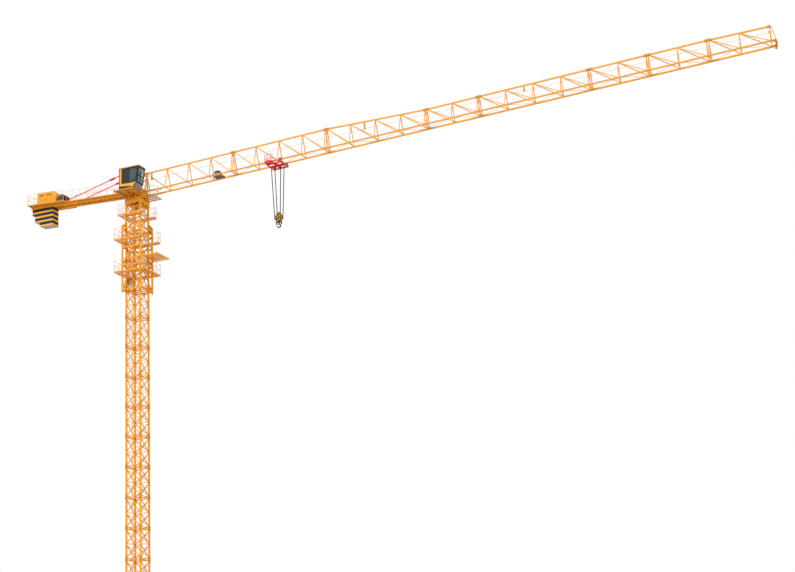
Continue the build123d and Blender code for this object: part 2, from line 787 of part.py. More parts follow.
with BuildPart() as hook:
    bowl = seat_low - hook_drop - 20
    shank_high, shank_low = seat_high + 28, bowl + 90
    shank_middle, shank_length = (shank_high + shank_low) / 2, shank_high - shank_low
    add([prism((block_x, 0, shank_middle), (0, 0, 1), shank_radius, 16, shank_length),
         prism((block_x, 0, seat_high + joint_gap + 14), (0, 0, 1), shank_radius * 1.4, 16, 28)])
    with BuildSketch(Plane((block_x, -hook_width / 2, bowl), x_dir=(1, 0, 0), z_dir=(0, -1, 0))) as outline:
        RegularPolygon(hook_radius, 24)
        RegularPolygon(hook_radius - hook_width, 20, mode=Mode.SUBTRACT)
        with Locations((-90, 70)):
            Rectangle(130, 140, mode=Mode.SUBTRACT)
        with Locations((0, 100)):
            Rectangle(56, 60)
    extrude(outline.sketch, amount=-hook_width)
save(hook, "hook")

# Counter-jib frame, deck and railings
def rear(u, y, w):
    return on(counter_plane, (-u, y, w))


def rear_bar(start, end, width, height=None):
    return bar(rear(*start), rear(*end), width, height)


beam_y = counter_spacing / 2
beam_mid = counter_beam_height / 2
cross_count = round(counter_length / counter_panel)
with BuildPart() as counter_jib_frame:
    pieces = []
    for y in (-beam_y, beam_y):
        pieces.append(rear_bar((0, y, beam_mid), (counter_length, y, beam_mid),
                               counter_beam_width, counter_beam_height))
    for index in range(cross_count + 1):
        u = cross_beam_width / 2 + (counter_length - cross_beam_width) * index / cross_count
        pieces.append(rear_bar((u, -beam_y, counter_beam_height * 0.7), (u, beam_y, counter_beam_height * 0.7),
                               cross_beam_width, counter_beam_height * 0.5))
    add(pieces)
save(counter_jib_frame, "counter_jib_frame")

deck_w = counter_beam_height + deck_thickness / 2 + joint_gap
with BuildPart() as counter_jib_deck:
    add(rear_bar((0, 0, deck_w), (rear_deck_start, 0, deck_w), walk_width, deck_thickness))
    add(rear_bar((rear_deck_start + joint_gap, 0, deck_w), (counter_length, 0, deck_w), rear_deck_width,
                 deck_thickness))
save(counter_jib_deck, "counter_jib_deck")

rail_w = counter_beam_height + deck_thickness + 3 * joint_gap
walk_y, rear_y = walk_width / 2 - rail_size, rear_deck_width / 2 - rail_size
rear_end = counter_length - rail_size
with BuildPart() as counter_jib_railings:
    for side in (-1, 1):
        add(railing(rear(cab_deck_rear, side * walk_y, rail_w),
                    rear(rear_deck_start - 10, side * walk_y, rail_w), rail_height, rail_post_pitch))
        add(railing(rear(rear_deck_start + 20, side * rear_y, rail_w), rear(rear_end, side * rear_y, rail_w),
                    rail_height, rail_post_pitch))
    end_y = rear_y - 2 * rail_size
    add(railing(rear(rear_end, -end_y, rail_w), rear(rear_end, end_y, rail_w), rail_height, rail_post_pitch))
save(counter_jib_railings, "counter_jib_railings")

# Counterweight slabs hung under the rear, the last ones shorter
with BuildPart() as counterweights:
    for index, height in enumerate(weight_heights):
        u = weight_start + index * (weight_thickness + weight_gap)
        front = rear(u, 0, 0)
        top = front[2] - joint_gap
        add(block((front[0] - weight_thickness, -weight_width / 2, top - height),
                  (front[0], weight_width / 2, top)))
save(counterweights, "counterweights")

# Hoist winch and the cabinet behind it
with BuildPart() as hoist_winch:
    base_w, base_reach = rail_w + winch_base / 2, winch_base_length / 2
    pieces = [rear_bar((winch_u - base_reach, 0, base_w), (winch_u + base_reach, 0, base_w),
                       drum_length + 120, winch_base)]
    drum_w = rail_w + winch_base + drum_radius + 40
    for side in (-1, 1):
        y = side * (drum_length / 2 + 20)
        cheek_w = (rail_w + drum_w) / 2 + 30
        pieces.append(rear_bar((winch_u - 150, y, cheek_w), (winch_u + 150, y, cheek_w), 40,
                               drum_w - rail_w + 60))
    pieces.append(prism(rear(winch_u, 0, drum_w), (0, 1, 0), drum_radius, 24, drum_length + 2))
    add(pieces)
save(hoist_winch, "hoist_winch")

with BuildPart() as winch_cabinet:
    low = rear(cabinet_u, cabinet_width / 2, rail_w)
    with BuildSketch(Plane(low, x_dir=counter_plane.x_dir, z_dir=(0, -1, 0))) as outline:
        Polygon((0, 0), (0, cabinet_height - cabinet_slope), (-cabinet_slope, cabinet_height),
                (-cabinet_length, cabinet_height), (-cabinet_length, 0), align=None)
    extrude(outline.sketch, amount=cabinet_width)
save(winch_cabinet, "winch_cabinet")

# Tie bars from the tower head to feet on the counter-jib
tie_top = (-hx - 90 - joint_gap - tie_size, head_rear - head_bar)
with BuildPart() as tie_bars:
    for y in (-hy, hy):
        add([bar((tie_top[0], y, tie_top[1]), rear(tie_u, y, rail_w + tie_size), tie_size),
             bar((tie_top[0] - tie_size, y, tie_top[1]), (tie_top[0] + tie_size, y, tie_top[1]), tie_size,
                 2.4 * tie_size),
             rear_bar((tie_u - 70, y, rail_w + tie_size), (tie_u + 70, y, rail_w + tie_size), tie_size,
                      2 * tie_size)])
save(tie_bars, "tie_bars")

# Cab deck beside the turntable, on ribs that reach the turntable
cab_outer_y = cab_inner_y - cab_width
deck_top = cab_bottom - joint_gap
deck_inner_y = -max(table_body_y, walk_width) / 2 - running_gap
with BuildPart() as cab_deck:
    y_low = cab_outer_y - 20
    rib_top = deck_top - cab_deck_thickness
    pieces = [block((cab_rear_x - cab_deck_rear, y_low, rib_top),
                    (cab_rear_x + cab_foot_length, deck_inner_y, deck_top))]
    for x in (cab_rear_x - 130, cab_rear_x + cab_foot_length * 0.36, cab_rear_x + cab_foot_length * 0.85):
        pieces.append(block((x - 30, y_low + 60, rib_top - cab_rib_height),
                            (x + 30, -table_body_y / 2 - joint_gap, rib_top)))
    add(pieces)
save(cab_deck, "cab_deck")

# Cab shell with a leaning front, hollow, with holes for the windows and the door
mid_y = (cab_outer_y + cab_inner_y) / 2
side_plane = Plane((cab_rear_x, cab_inner_y, cab_bottom), x_dir=(1, 0, 0), z_dir=(0, -1, 0))
cab_points = [(0, 0), (cab_foot_length, 0), (cab_sill_length, cab_sill_height), (cab_top_length, cab_height),
              (0, cab_height)]
window_points = [(window_rear, window_sill), (cab_sill_length - window_frame, window_sill),
                 (cab_top_length - window_frame * 1.3, cab_height - window_frame),
                 (window_rear, cab_height - window_frame)]
front_run = Vector(cab_top_length - cab_sill_length, 0, cab_height - cab_sill_height)
front_plane = Plane(Vector(cab_rear_x + cab_sill_length, mid_y, cab_bottom + cab_sill_height) + front_run / 2,
                    x_dir=(0, 1, 0), z_dir=Vector(0, 1, 0).cross(front_run))
front_window = (cab_width - 2 * window_frame, front_run.length - 2 * window_frame)
with BuildPart() as cab_shell:
    with BuildSketch(side_plane) as side:
        Polygon(*cab_points, align=None)
    extrude(side.sketch, amount=cab_width)
    with BuildSketch(side_plane.offset(cab_wall)) as room:
        Polygon(*cab_points, align=None)
        offset(amount=-cab_wall, mode=Mode.REPLACE)
    extrude(room.sketch, amount=cab_width - 2 * cab_wall, mode=Mode.SUBTRACT)
    with BuildSketch(side_plane.offset(-cab_wall)) as windows:
        Polygon(*window_points, align=None)
    extrude(windows.sketch, amount=cab_width + 2 * cab_wall, mode=Mode.SUBTRACT)
    with BuildSketch(front_plane) as front:
        Rectangle(*front_window)
    extrude(front.sketch, amount=2 * cab_wall, both=True, mode=Mode.SUBTRACT)
    door_low = cab_bottom + door_sill
    add(block((cab_rear_x - 50, mid_y - door_width / 2, door_low),
              (cab_rear_x + 2 * cab_wall, mid_y + door_width / 2, door_low + door_height)), mode=Mode.SUBTRACT)
    pivot_x = cab_rear_x - running_gap - door_thickness / 2
    pivot_y = mid_y - door_width / 2 - hinge_lug
    lug_levels = (door_low + 80, door_low + door_height - 80)
    for level in lug_levels:
        add(block((pivot_x - door_thickness / 2, pivot_y - hinge_lug / 2, level - hinge_lug / 2),
                  (cab_rear_x + 1, pivot_y + hinge_lug / 2, level + hinge_lug / 2)))
        with Locations((pivot_x, pivot_y, level)):
            Cylinder(hinge_pin_radius + joint_gap, 2 * hinge_lug, mode=Mode.SUBTRACT)
save(cab_shell, "cab_shell")

with BuildPart() as cab_roof:
    top = cab_bottom + cab_height + joint_gap
    roof_front = cab_rear_x + cab_top_length + roof_overhang
    add(block((cab_rear_x - roof_overhang, cab_outer_y - roof_overhang, top),
              (roof_front, cab_inner_y + roof_overhang, top + roof_thickness)))
save(cab_roof, "cab_roof")

with BuildPart() as cab_glazing:
    for inset in (cab_wall / 2 - glass_thickness / 2, cab_width - cab_wall / 2 - glass_thickness / 2):
        with BuildSketch(side_plane.offset(inset)) as pane:
            Polygon(*window_points, align=None)
            offset(amount=-joint_gap, mode=Mode.REPLACE)
        extrude(pane.sketch, amount=glass_thickness)
    with BuildSketch(front_plane.offset(-cab_wall / 2 - glass_thickness / 2)) as pane:
        Rectangle(front_window[0] - 2 * joint_gap, front_window[1] - 2 * joint_gap)
    extrude(pane.sketch, amount=glass_thickness)
save(cab_glazing, "cab_glazing")

with BuildPart() as cab_door:
    add(block((cab_rear_x - running_gap - door_thickness, pivot_y - hinge_pin_radius, door_low - 20),
              (cab_rear_x - running_gap, mid_y + door_width / 2 + 20, door_low + door_height + 20)))
    for level in lug_levels:
        add(block((pivot_x - door_thickness, pivot_y - hinge_lug, level - hinge_lug / 2 - running_gap),
                  (cab_rear_x, mid_y - door_width / 2 - running_gap, level + hinge_lug / 2 + running_gap)),
            mode=Mode.SUBTRACT)
        with Locations((pivot_x, pivot_y, level)):
            Cylinder(hinge_pin_radius, hinge_lug + 4 * running_gap)
save(cab_door, "cab_door")

# Small platform of bars under the jib's root
platform_low = table_size / 2 + joint_gap
platform_high = platform_low + front_platform_length
platform_y = table_body_y / 2
with BuildPart() as front_platform:
    level = table_bottom + table_plate / 2
    pieces = [bar((platform_low, y, level), (platform_high, y, level), table_plate)
              for y in (-platform_y, -platform_y / 3, platform_y / 3, platform_y)]
    for x in (platform_low + table_plate / 2, platform_high - table_plate / 2):
        pieces.append(bar((x, -platform_y, level), (x, platform_y, level), table_plate))
    add(pieces)
save(front_platform, "front_platform")
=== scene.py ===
import math

import bmesh
import bpy
from mathutils import Matrix, Vector


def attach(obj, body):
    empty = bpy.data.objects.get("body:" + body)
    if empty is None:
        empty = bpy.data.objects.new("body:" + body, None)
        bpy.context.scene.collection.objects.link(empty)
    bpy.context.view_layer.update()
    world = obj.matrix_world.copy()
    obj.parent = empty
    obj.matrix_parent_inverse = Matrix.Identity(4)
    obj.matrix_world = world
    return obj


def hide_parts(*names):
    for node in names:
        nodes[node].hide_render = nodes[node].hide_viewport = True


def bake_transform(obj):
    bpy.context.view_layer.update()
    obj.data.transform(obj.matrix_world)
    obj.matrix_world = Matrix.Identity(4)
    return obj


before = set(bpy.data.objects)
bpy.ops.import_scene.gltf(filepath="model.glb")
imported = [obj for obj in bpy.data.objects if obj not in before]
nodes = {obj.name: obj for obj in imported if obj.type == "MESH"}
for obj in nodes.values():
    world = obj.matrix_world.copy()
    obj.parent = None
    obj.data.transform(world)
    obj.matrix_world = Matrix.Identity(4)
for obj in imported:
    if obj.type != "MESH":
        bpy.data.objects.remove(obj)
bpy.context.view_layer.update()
scene = bpy.context.scene
CAGE, UPPER = "climbing_frame", "upper_crane"

# Mast and climbing frame in metres, as the solids have them
SECTION, SECTIONS, MAST_BASE, HALF = 1.5, 15, 0.3, 0.4
MAST_TOP = MAST_BASE + SECTION * SECTIONS
SECTION_TOPS = [MAST_BASE + SECTION * (k + 1) for k in range(SECTIONS)]
LADDER_X, LADDER_HALF, RUNG_PITCH, RUNG_SIZE = -0.215, 0.11, 0.15, 0.010
CAGE_HALF, CAGE_BOTTOM, CAGE_TOP = 0.542, 19.57, 22.97
CAGE_LEVELS = (CAGE_BOTTOM + 0.13, CAGE_BOTTOM + 1.385, CAGE_BOTTOM + 2.34)
LOWER_DECK, UPPER_DECK, DECK_HALF, DECK_HOLE = 20.605, 22.295, 0.8553, 0.5773
TRANSITION_DECK, TRANSITION_TOP, TRANSITION_HALF, TRANSITION_HOLE = 23.6, 24.25, 0.7163, 0.4383
RAIL_INSET, POST_HEIGHT, POST_SIZE = 0.012, 0.548, 0.010
FEED_Z, FEED_END, FEED_Y = 21.3, 1.501, 0.6023
SIDES = (-1, 1)
CORNERS = [(x, y) for x in SIDES for y in SIDES]

# Upper crane, trolley and block in metres
TABLE_BOTTOM = 24.3943
JIB_ROOT, JIB_RISE = Vector((0.565, 0, 24.7003)), math.radians(2.0)
PANEL, PANELS, CHORD_Y = 1.25, 24, 0.3
JIB_LENGTH = PANEL * PANELS
JIB_DEPTHS = ((0.0, 1.07), (10.0, 1.07), (15.0, 0.825), (27.5, 0.825), (30.0, 0.765))
JOINTS_AT = (0, 4, 8, 12, 14, 18, 20, 22, 24)
BRACKETS_AT = (0.33, 11.95, 19.6)
ROPE_SHARE = 0.66
FRONT_LOW, FRONT_HIGH, FRONT_TOP = 0.4603, 1.2203, TABLE_BOTTOM + 0.04
REAR_ROOT, REAR_RISE = Vector((-0.45633, 0, 24.7343)), math.radians(2.4)
REAR_TURN = (0, REAR_RISE, 0)
REAR_FLOOR, WINCH_U, CABINET_U = 0.1349, 4.05, 4.36
TIE_Y, TIE_TOP_X, TIE_TOP_Z = 0.3, -0.5363, 25.9006
CAB_REAR, CAB_OUTER, CAB_INNER, CAB_BOTTOM = -0.31, -1.22, -0.6, 24.6903
CAB_SIDES = ((CAB_OUTER, -1), (CAB_INNER, 1))
TROLLEY_U, TROLLEY_PLATE_Y, BASKET_Y = 7.365, 0.376, -0.6203
BLOCK_Z, FALL_TOP, FALL_RADIUS = 22.18044, 24.78644, 0.02


def along_jib(u, y, w):
    """A point given along, across and above the jib's bottom chords."""
    c, s = math.cos(JIB_RISE), math.sin(JIB_RISE)
    return JIB_ROOT + Vector((c * u - s * w, y, s * u + c * w))


def along_rear(u, y, w):
    """A point given backwards, across and above the counter-jib's lower edge."""
    c, s = math.cos(REAR_RISE), math.sin(REAR_RISE)
    return REAR_ROOT + Vector((-c * u + s * w, y, s * u + c * w))


def cab_at(x, y, z):
    """A point given ahead of the cab's rear and above its floor, with y as the crane has it."""
    return CAB_REAR + x, y, CAB_BOTTOM + z


def turned(flip, a, b, z):
    """A point with its places along x and y changed over where asked."""
    return (b, a, z) if flip else (a, b, z)


def jib_depth(u):
    """Height of the top chord over the bottom chords, straight between the depths given."""
    for (start, one), (end, other) in zip(JIB_DEPTHS, JIB_DEPTHS[1:]):
        if u <= end:
            return one + (other - one) * (u - start) / (end - start)


def rope_level(u):
    """Height of the hoist rope in the jib."""
    root, tip = JIB_DEPTHS[0][1], JIB_DEPTHS[-1][1]
    return ROPE_SHARE * (root + (tip - root) * u / JIB_LENGTH)


# Finishes
def fresh(name):
    material = bpy.data.materials.new(name)
    material.use_nodes = True
    tree = material.node_tree
    return material, tree, tree.nodes["Principled BSDF"]


def give(tree, socket, value):
    """Set an input, by a link where the value comes from another node."""
    if isinstance(value, bpy.types.NodeSocket):
        tree.links.new(value, socket)
    else:
        socket.default_value = value


def dress(tree, shader, values):
    for name, value in values.items():
        give(tree, shader.inputs[name], value)


def put(tree, kind, inputs=None, **settings):
    node = tree.nodes.new(kind)
    for key, value in settings.items():
        setattr(node, key, value)
    for key, value in (inputs or {}).items():
        give(tree, node.inputs[key], value)
    return node


def place(tree, scale=(1, 1, 1), turn=(0, 0, 0)):
    """Object coordinates, stretched and turned."""
    where = put(tree, "ShaderNodeTexCoord")
    return put(tree, "ShaderNodeMapping", {"Vector": where.outputs["Object"], "Scale": scale,
                                           "Rotation": turn}).outputs["Vector"]


def noise(tree, where, scale, detail=4.0, rough=0.55):
    return put(tree, "ShaderNodeTexNoise", {"Vector": where, "Scale": scale, "Detail": detail,
                                            "Roughness": rough}).outputs["Fac"]


def ramp(tree, source, low, high, start=0.0, end=1.0):
    return put(tree, "ShaderNodeMapRange", {"Value": source, "From Min": low, "From Max": high,
                                            "To Min": start, "To Max": end}).outputs["Result"]


def reckon(tree, operation, one, other):
    """One step of arithmetic between two values."""
    return put(tree, "ShaderNodeMath", {0: one, 1: other}, operation=operation).outputs[0]


def mix(tree, share, one, other):
    node = put(tree, "ShaderNodeMix", data_type="RGBA")
    for socket, value in ((node.inputs["Factor"], share), (node.inputs[6], one), (node.inputs[7], other)):
        give(tree, socket, (*value, 1.0) if isinstance(value, tuple) else value)
    return node.outputs[2]


def toned(colour, times, plus=0.0):
    return tuple(c * times + plus for c in colour)


def facing(tree, axis):
    """How far a face looks along one axis."""
    normal = put(tree, "ShaderNodeNewGeometry").outputs["Normal"]
    return put(tree, "ShaderNodeSeparateXYZ", {"Vector": normal}).outputs[axis]


def bumped(tree, shader, height, strength, distance):
    node = put(tree, "ShaderNodeBump", {"Height": height, "Strength": strength, "Distance": distance})
    dress(tree, shader, {"Normal": node.outputs["Normal"]})


def weathered(tree, shader, colour, rusty, chips=0.72, gloss=(0.42, 0.6), streak=0.16):
    """Gloss paint with faded patches and dust streaks, chipped to the primer here and there."""
    where = place(tree)
    patches = ramp(tree, noise(tree, where, 0.9, 3.0), 0.35, 0.7)
    base = mix(tree, patches, colour, toned(colour, 0.86, 0.012))
    streaks = ramp(tree, noise(tree, place(tree, (9, 9, 0.7)), 1.4, 5.0), 0.52, 0.78, 0.0, streak)
    base = mix(tree, streaks, base, toned(colour, 0.45, 0.02))
    spots = ramp(tree, noise(tree, where, 21.0, 6.0, 0.7), chips, chips + 0.03, 0.0, 0.85)
    base = mix(tree, spots, base, rusty)
    dress(tree, shader, {"Base Color": base,
                         "Roughness": ramp(tree, noise(tree, where, 7.0), 0.3, 0.7, *gloss)})
    bumped(tree, shader, noise(tree, where, 160.0, 2.0), 0.12, 0.001)
    return base


def paint(name, colour, rusty=(0.10, 0.035, 0.012), **facts):
    material, tree, shader = fresh(name)
    weathered(tree, shader, colour, rusty, **facts)
    dress(tree, shader, {"Specular IOR Level": 0.2})
    return material


def striped_paint(name, light, dark, pitch, phase=0.0, turn=(0, 0, 0), under=None, pale_share=0.5):
    """Hazard bands one above the other, with worn edges, and a bare underside where one is given."""
    material, tree, shader = fresh(name)
    where = place(tree, turn=turn)
    height = put(tree, "ShaderNodeSeparateXYZ", {"Vector": where}).outputs["Z"]
    waver = ramp(tree, noise(tree, where, 24.0), 0.0, 1.0, -0.003, 0.003)
    moved = reckon(tree, "ADD", reckon(tree, "ADD", height, waver), phase)
    turns = reckon(tree, "FLOORED_MODULO", moved, 2 * pitch)
    band = reckon(tree, "GREATER_THAN", turns, 2 * pitch * pale_share)
    grain = ramp(tree, noise(tree, place(tree), 5.0, 6.0), 0.3, 0.75)
    pale = mix(tree, grain, light, toned(light, 0.82, 0.02))
    deep = mix(tree, grain, dark, toned(dark, 1.3, 0.012))
    coat = mix(tree, band, pale, deep)
    if under:
        below = reckon(tree, "LESS_THAN", facing(tree, "Z"), -0.6)
        coat = mix(tree, below, coat, mix(tree, grain, under, toned(under, 0.7)))
    dress(tree, shader, {"Base Color": coat, "Specular IOR Level": 0.15,
                         "Roughness": ramp(tree, grain, 0.0, 1.0, 0.55, 0.75)})
    bumped(tree, shader, noise(tree, place(tree), 70.0, 4.0), 0.25, 0.002)
    return material


def bare_metal(name, colour, scale, rough):
    """Worn steel with drawn lines along its length and darker grease."""
    material, tree, shader = fresh(name)
    lines = noise(tree, place(tree, (scale, scale, 2.0)), 6.0, 3.0)
    grease = ramp(tree, noise(tree, place(tree), 5.0), 0.45, 0.7, 0.0, 0.6)
    base = mix(tree, ramp(tree, lines, 0.3, 0.7), colour, toned(colour, 0.7))
    dress(tree, shader, {"Base Color": mix(tree, grease, base, toned(colour, 0.3)), "Metallic": 0.85,
                         "Roughness": ramp(tree, lines, 0.3, 0.7, rough - 0.08, rough + 0.12)})
    bumped(tree, shader, lines, 0.2, 0.001)
    return material


def wire_rope(name, colour):
    """Laid strands, seen as slanting ridges along the rope."""
    material, tree, shader = fresh(name)
    where = place(tree, turn=(0, math.radians(35), 0))
    lay = put(tree, "ShaderNodeTexWave", {"Vector": where, "Scale": 22.0, "Distortion": 0.6, "Detail": 2.0},
              bands_direction="Z").outputs["Fac"]
    dress(tree, shader, {"Base Color": mix(tree, lay, toned(colour, 0.5), colour),
                         "Specular IOR Level": 0.06, "Roughness": ramp(tree, lay, 0.0, 1.0, 0.7, 0.5)})
    bumped(tree, shader, lay, 0.5, 0.004)
    return material


def open_grating(name, colour):
    """A walked-on deck: bearing bars close together and cross rods further apart, in worn paint, with
    painted shade darkening the gaps between the bars.
    """
    material, tree, shader = fresh(name)
    base = weathered(tree, shader, colour, (0.12, 0.05, 0.02), chips=0.66, gloss=(0.45, 0.65))
    waves = [put(tree, "ShaderNodeTexWave", {"Vector": place(tree), "Scale": scale},
                 bands_direction=axis).outputs["Fac"] for scale, axis in ((12.0, "X"), (5.0, "Y"))]
    mesh = reckon(tree, "MAXIMUM", *waves)
    # Painted shade: the deck colour is darkened between the bars, where the gaps would be in shade
    gap_shade = ramp(tree, mesh, 0.5, 0.8, 0.5, 0.0)
    dress(tree, shader, {"Base Color": mix(tree, gap_shade, base, toned(colour, 0.25))})
    bumped(tree, shader, mesh, 0.6, 0.01)
    return material


def tinted_glass(name, colour, deep, reflection_colour):
    """Dark tinted panes with dusty film and slight ripple, the front pane painted paler in patches as a
    reflection.
    """
    material, tree, shader = fresh(name)
    film = ramp(tree, noise(tree, place(tree, (2.2, 2.2, 1.2)), 1.6, 5.0), 0.35, 0.7)
    # Painted reflection: panes facing forward take a pale, patchy colour in place of the bright sky they
    # would mirror
    ahead = reckon(tree, "GREATER_THAN", facing(tree, "X"), 0.6)
    patches = ramp(tree, noise(tree, place(tree), 3.2, 2.0), 0.42, 0.58)
    painted_reflection = mix(tree, patches, toned(reflection_colour, 0.3), reflection_colour)
    dress(tree, shader, {"Base Color": mix(tree, ahead, mix(tree, film, deep, colour), painted_reflection),
                         "Roughness": ramp(tree, film, 0.0, 1.0, 0.03, 0.12),
                         "IOR": 1.45, "Transmission Weight": 0.45})
    bumped(tree, shader, noise(tree, place(tree), 3.0, 1.0), 0.04, 0.01)
    return material


crane_paint = paint("crane_orange_paint", (0.88, 0.372, 0.011))
# A darker copy of the crane orange: painted shade for the collars, pins, lugs and end fittings, not a paint
# of their own
shaded_joint_paint = paint("joint_shaded_orange", (0.66, 0.265, 0.008), chips=0.7)
deck_paint = open_grating("deck_grating_paint", (0.76, 0.30, 0.011))
rail_paint = paint("railing_paint", (0.90, 0.42, 0.06), chips=0.78)
red_paint = paint("tie_and_trolley_red", (0.76, 0.014, 0.014), (0.16, 0.03, 0.02))
winch_paint = paint("winch_grey_paint", (0.085, 0.09, 0.10), (0.03, 0.02, 0.015), chips=0.66)
navy_paint = paint("cab_navy_paint", (0.020, 0.022, 0.025), (0.04, 0.04, 0.045), chips=0.8,
                   gloss=(0.6, 0.75), streak=0.08)
grille_paint = paint("step_grey_paint", (0.30, 0.285, 0.265), (0.05, 0.035, 0.03))
pump_paint = paint("pump_brown_paint", (0.16, 0.055, 0.012), (0.03, 0.02, 0.012), chips=0.64)
hook_paint = paint("hook_black_paint", (0.012, 0.012, 0.014), (0.05, 0.045, 0.04), chips=0.76)
seal_rubber = paint("window_seal_rubber", (0.014, 0.015, 0.017), (0.03, 0.03, 0.03), chips=0.8,
                    gloss=(0.6, 0.8))
weight_stripes = striped_paint("counterweight_stripes", (0.92, 0.42, 0.035), (0.010, 0.015, 0.026), 0.124,
                               -23.951, under=(0.42, 0.41, 0.39), pale_share=0.39)
block_stripes = striped_paint("hook_block_stripes", (0.60, 0.25, 0.016), (0.02, 0.02, 0.022), 0.06,
                              turn=(0, math.radians(38), 0))
steel = bare_metal("worn_steel", (0.42, 0.41, 0.40), 40.0, 0.42)
dark_steel = bare_metal("greased_steel", (0.10, 0.095, 0.09), 30.0, 0.5)
rope_lay = wire_rope("steel_wire_rope", (0.024, 0.024, 0.026))
drum_lay = wire_rope("wound_wire_rope", (0.10, 0.10, 0.105))
pale_line = wire_rope("galvanised_line", (0.96, 0.78, 0.56))
# The last colour is the painted reflection on the front pane
cab_glass = tinted_glass("cab_tinted_glass", (0.10, 0.20, 0.20), (0.024, 0.052, 0.055), (0.62, 0.78, 0.70))

own_finish = {"tie_bars": red_paint, "trolley_frame": red_paint, "trolley_basket": red_paint,
              "hoist_winch": winch_paint, "trolley_winch": winch_paint, "hydraulic_pump": pump_paint,
              "cylinder_rod": steel, "trolley_wheels": steel, "trolley_sheaves": steel,
              "counterweights": weight_stripes, "hook": hook_paint, "block_sheaves": dark_steel,
              "hook_block": block_stripes, "cab_glazing": cab_glass, "cab_shell": navy_paint,
              "jib_ropes": pale_line, "hoist_ropes": rope_lay, "introduction_platform": crane_paint}
for name, node in nodes.items():
    finish = crane_paint
    if name in own_finish:
        finish = own_finish[name]
    elif name.endswith("railings"):
        finish = rail_paint
    elif name.endswith(("_deck", "_platform")):
        finish = deck_paint
    node.data.materials.clear()
    node.data.materials.append(finish)


# Shapes
def circle(sides):
    """The corners of a round form of radius one."""
    return [(math.cos(2 * math.pi * k / sides), math.sin(2 * math.pi * k / sides)) for k in range(sides)]


def skin(bm, loops):
    """Faces from each loop of points to the next."""
    for one, other in zip(loops, loops[1:]):
        for k in range(len(one)):
            j = (k + 1) % len(one)
            bm.faces.new((one[k], one[j], other[j], other[k]))


def lath(bm, start, end, width, height=None):
    """A straight bar between two points, with a flat top."""
    low, high = Vector(start), Vector(end)
    run = (high - low).normalized()
    flat = Vector((0, 0, 1)).cross(run)
    side = flat.normalized() if flat.length > 1e-5 else Vector((0, 1, 0))
    rise = run.cross(side)
    a, b = side * (width / 2), rise * ((height or width) / 2)
    corners = [bm.verts.new(p + i * a + j * b) for p in (low, high)
               for i, j in ((-1, -1), (1, -1), (1, 1), (-1, 1))]
    for face in ((3, 2, 1, 0), (4, 5, 6, 7), (0, 1, 5, 4), (1, 2, 6, 5), (2, 3, 7, 6), (3, 0, 4, 7)):
        bm.faces.new([corners[k] for k in face])


def slab(bm, corner, opposite):
    """A box between two corners."""
    x, y, z = (sorted(pair) for pair in zip(corner, opposite))
    lath(bm, (x[0], sum(y) / 2, sum(z) / 2), (x[1], sum(y) / 2, sum(z) / 2), y[1] - y[0], z[1] - z[0])


def tube(bm, start, end, radius, sides=12, tip=None):
    """A round rod between two points, tapered where its tip has a radius of its own."""
    low, high = Vector(start), Vector(end)
    turn = (high - low).to_track_quat("Z", "Y")
    loops = []
    for point, size in ((low, radius), (high, radius if tip is None else tip)):
        points = [point + turn @ Vector((size * a, size * b, 0)) for a, b in circle(sides)]
        loops.append([bm.verts.new(p) for p in points])
    skin(bm, loops)
    bm.faces.new(list(reversed(loops[0])))
    bm.faces.new(loops[1])


def cross_pin(bm, at, half, radius, sides):
    """A round pin that lies across the crane."""
    reach = Vector((0, half, 0))
    tube(bm, Vector(at) - reach, Vector(at) + reach, radius, sides)


def sleeve(bm, x, low, high, outer, inner, sides=16):
    """An upright hollow collar."""
    loops = []
    for radius, z in ((outer, low), (outer, high), (inner, high), (inner, low)):
        loops.append([bm.verts.new((x + radius * a, radius * b, z)) for a, b in circle(sides)])
    skin(bm, loops + loops[:1])


def plate(bm, outline, thickness):
    """A flat plate from its outline, thickened along a vector."""
    lift = Vector(thickness)
    low = [bm.verts.new(Vector(p)) for p in outline]
    high = [bm.verts.new(Vector(p) + lift) for p in outline]
    bm.faces.new(low)
    bm.faces.new(list(reversed(high)))
    count = len(outline)
    for k in range(count):
        bm.faces.new((low[(k + 1) % count], low[k], high[k], high[(k + 1) % count]))


def hex_head(bm, at, axis, radius=0.014, height=0.011):
    point, way = Vector(at), Vector(axis).normalized()
    tube(bm, point, point + way * height, radius, 6)


def added(name, data):
    """A new object in the scene."""
    thing = bpy.data.objects.new(name, data)
    scene.collection.objects.link(thing)
    return thing


def piece(name, body, material, draw):
    """A finished piece drawn into a mesh, riding on its body."""
    bm = bmesh.new()
    draw(bm)
    bmesh.ops.recalc_face_normals(bm, faces=bm.faces)
    return settle(name, body, material, bm)


def drawn(body, material):
    """Make the piece that the function below draws, under the function's name."""
    return lambda draw: piece(draw.__name__, body, material, draw)


def settle(name, body, material, bm):
    mesh = bpy.data.meshes.new(name)
    bm.to_mesh(mesh)
    bm.free()
    mesh.materials.append(material)
    thing = added(name, mesh)
    if body:
        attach(thing, body)
    return thing


# Rows and rings of like pieces
def sized_tree(name, inputs):
    """A tree with its named inputs alone, and the sockets that hold them."""
    tree = bpy.data.node_groups.new(name, "GeometryNodeTree")
    for label, kind, value in inputs:
        socket = tree.interface.new_socket(label, in_out="INPUT", socket_type="NodeSocket" + kind)
        socket.default_value = value
    tree.interface.new_socket("Finish", in_out="INPUT", socket_type="NodeSocketMaterial")
    tree.interface.new_socket("Geometry", in_out="OUTPUT", socket_type="NodeSocketGeometry")
    return tree, tree.nodes.new("NodeGroupInput").outputs


def closed(tree, last, sizes):
    """The tree's end: its copies made real and given their finish."""
    real = put(tree, "GeometryNodeRealizeInstances", {"Geometry": last.outputs[0]})
    done = put(tree, "GeometryNodeSetMaterial", {"Geometry": real.outputs[0], "Material": sizes["Finish"]})
    tree.links.new(done.outputs[0], tree.nodes.new("NodeGroupOutput").inputs[0])
    return tree


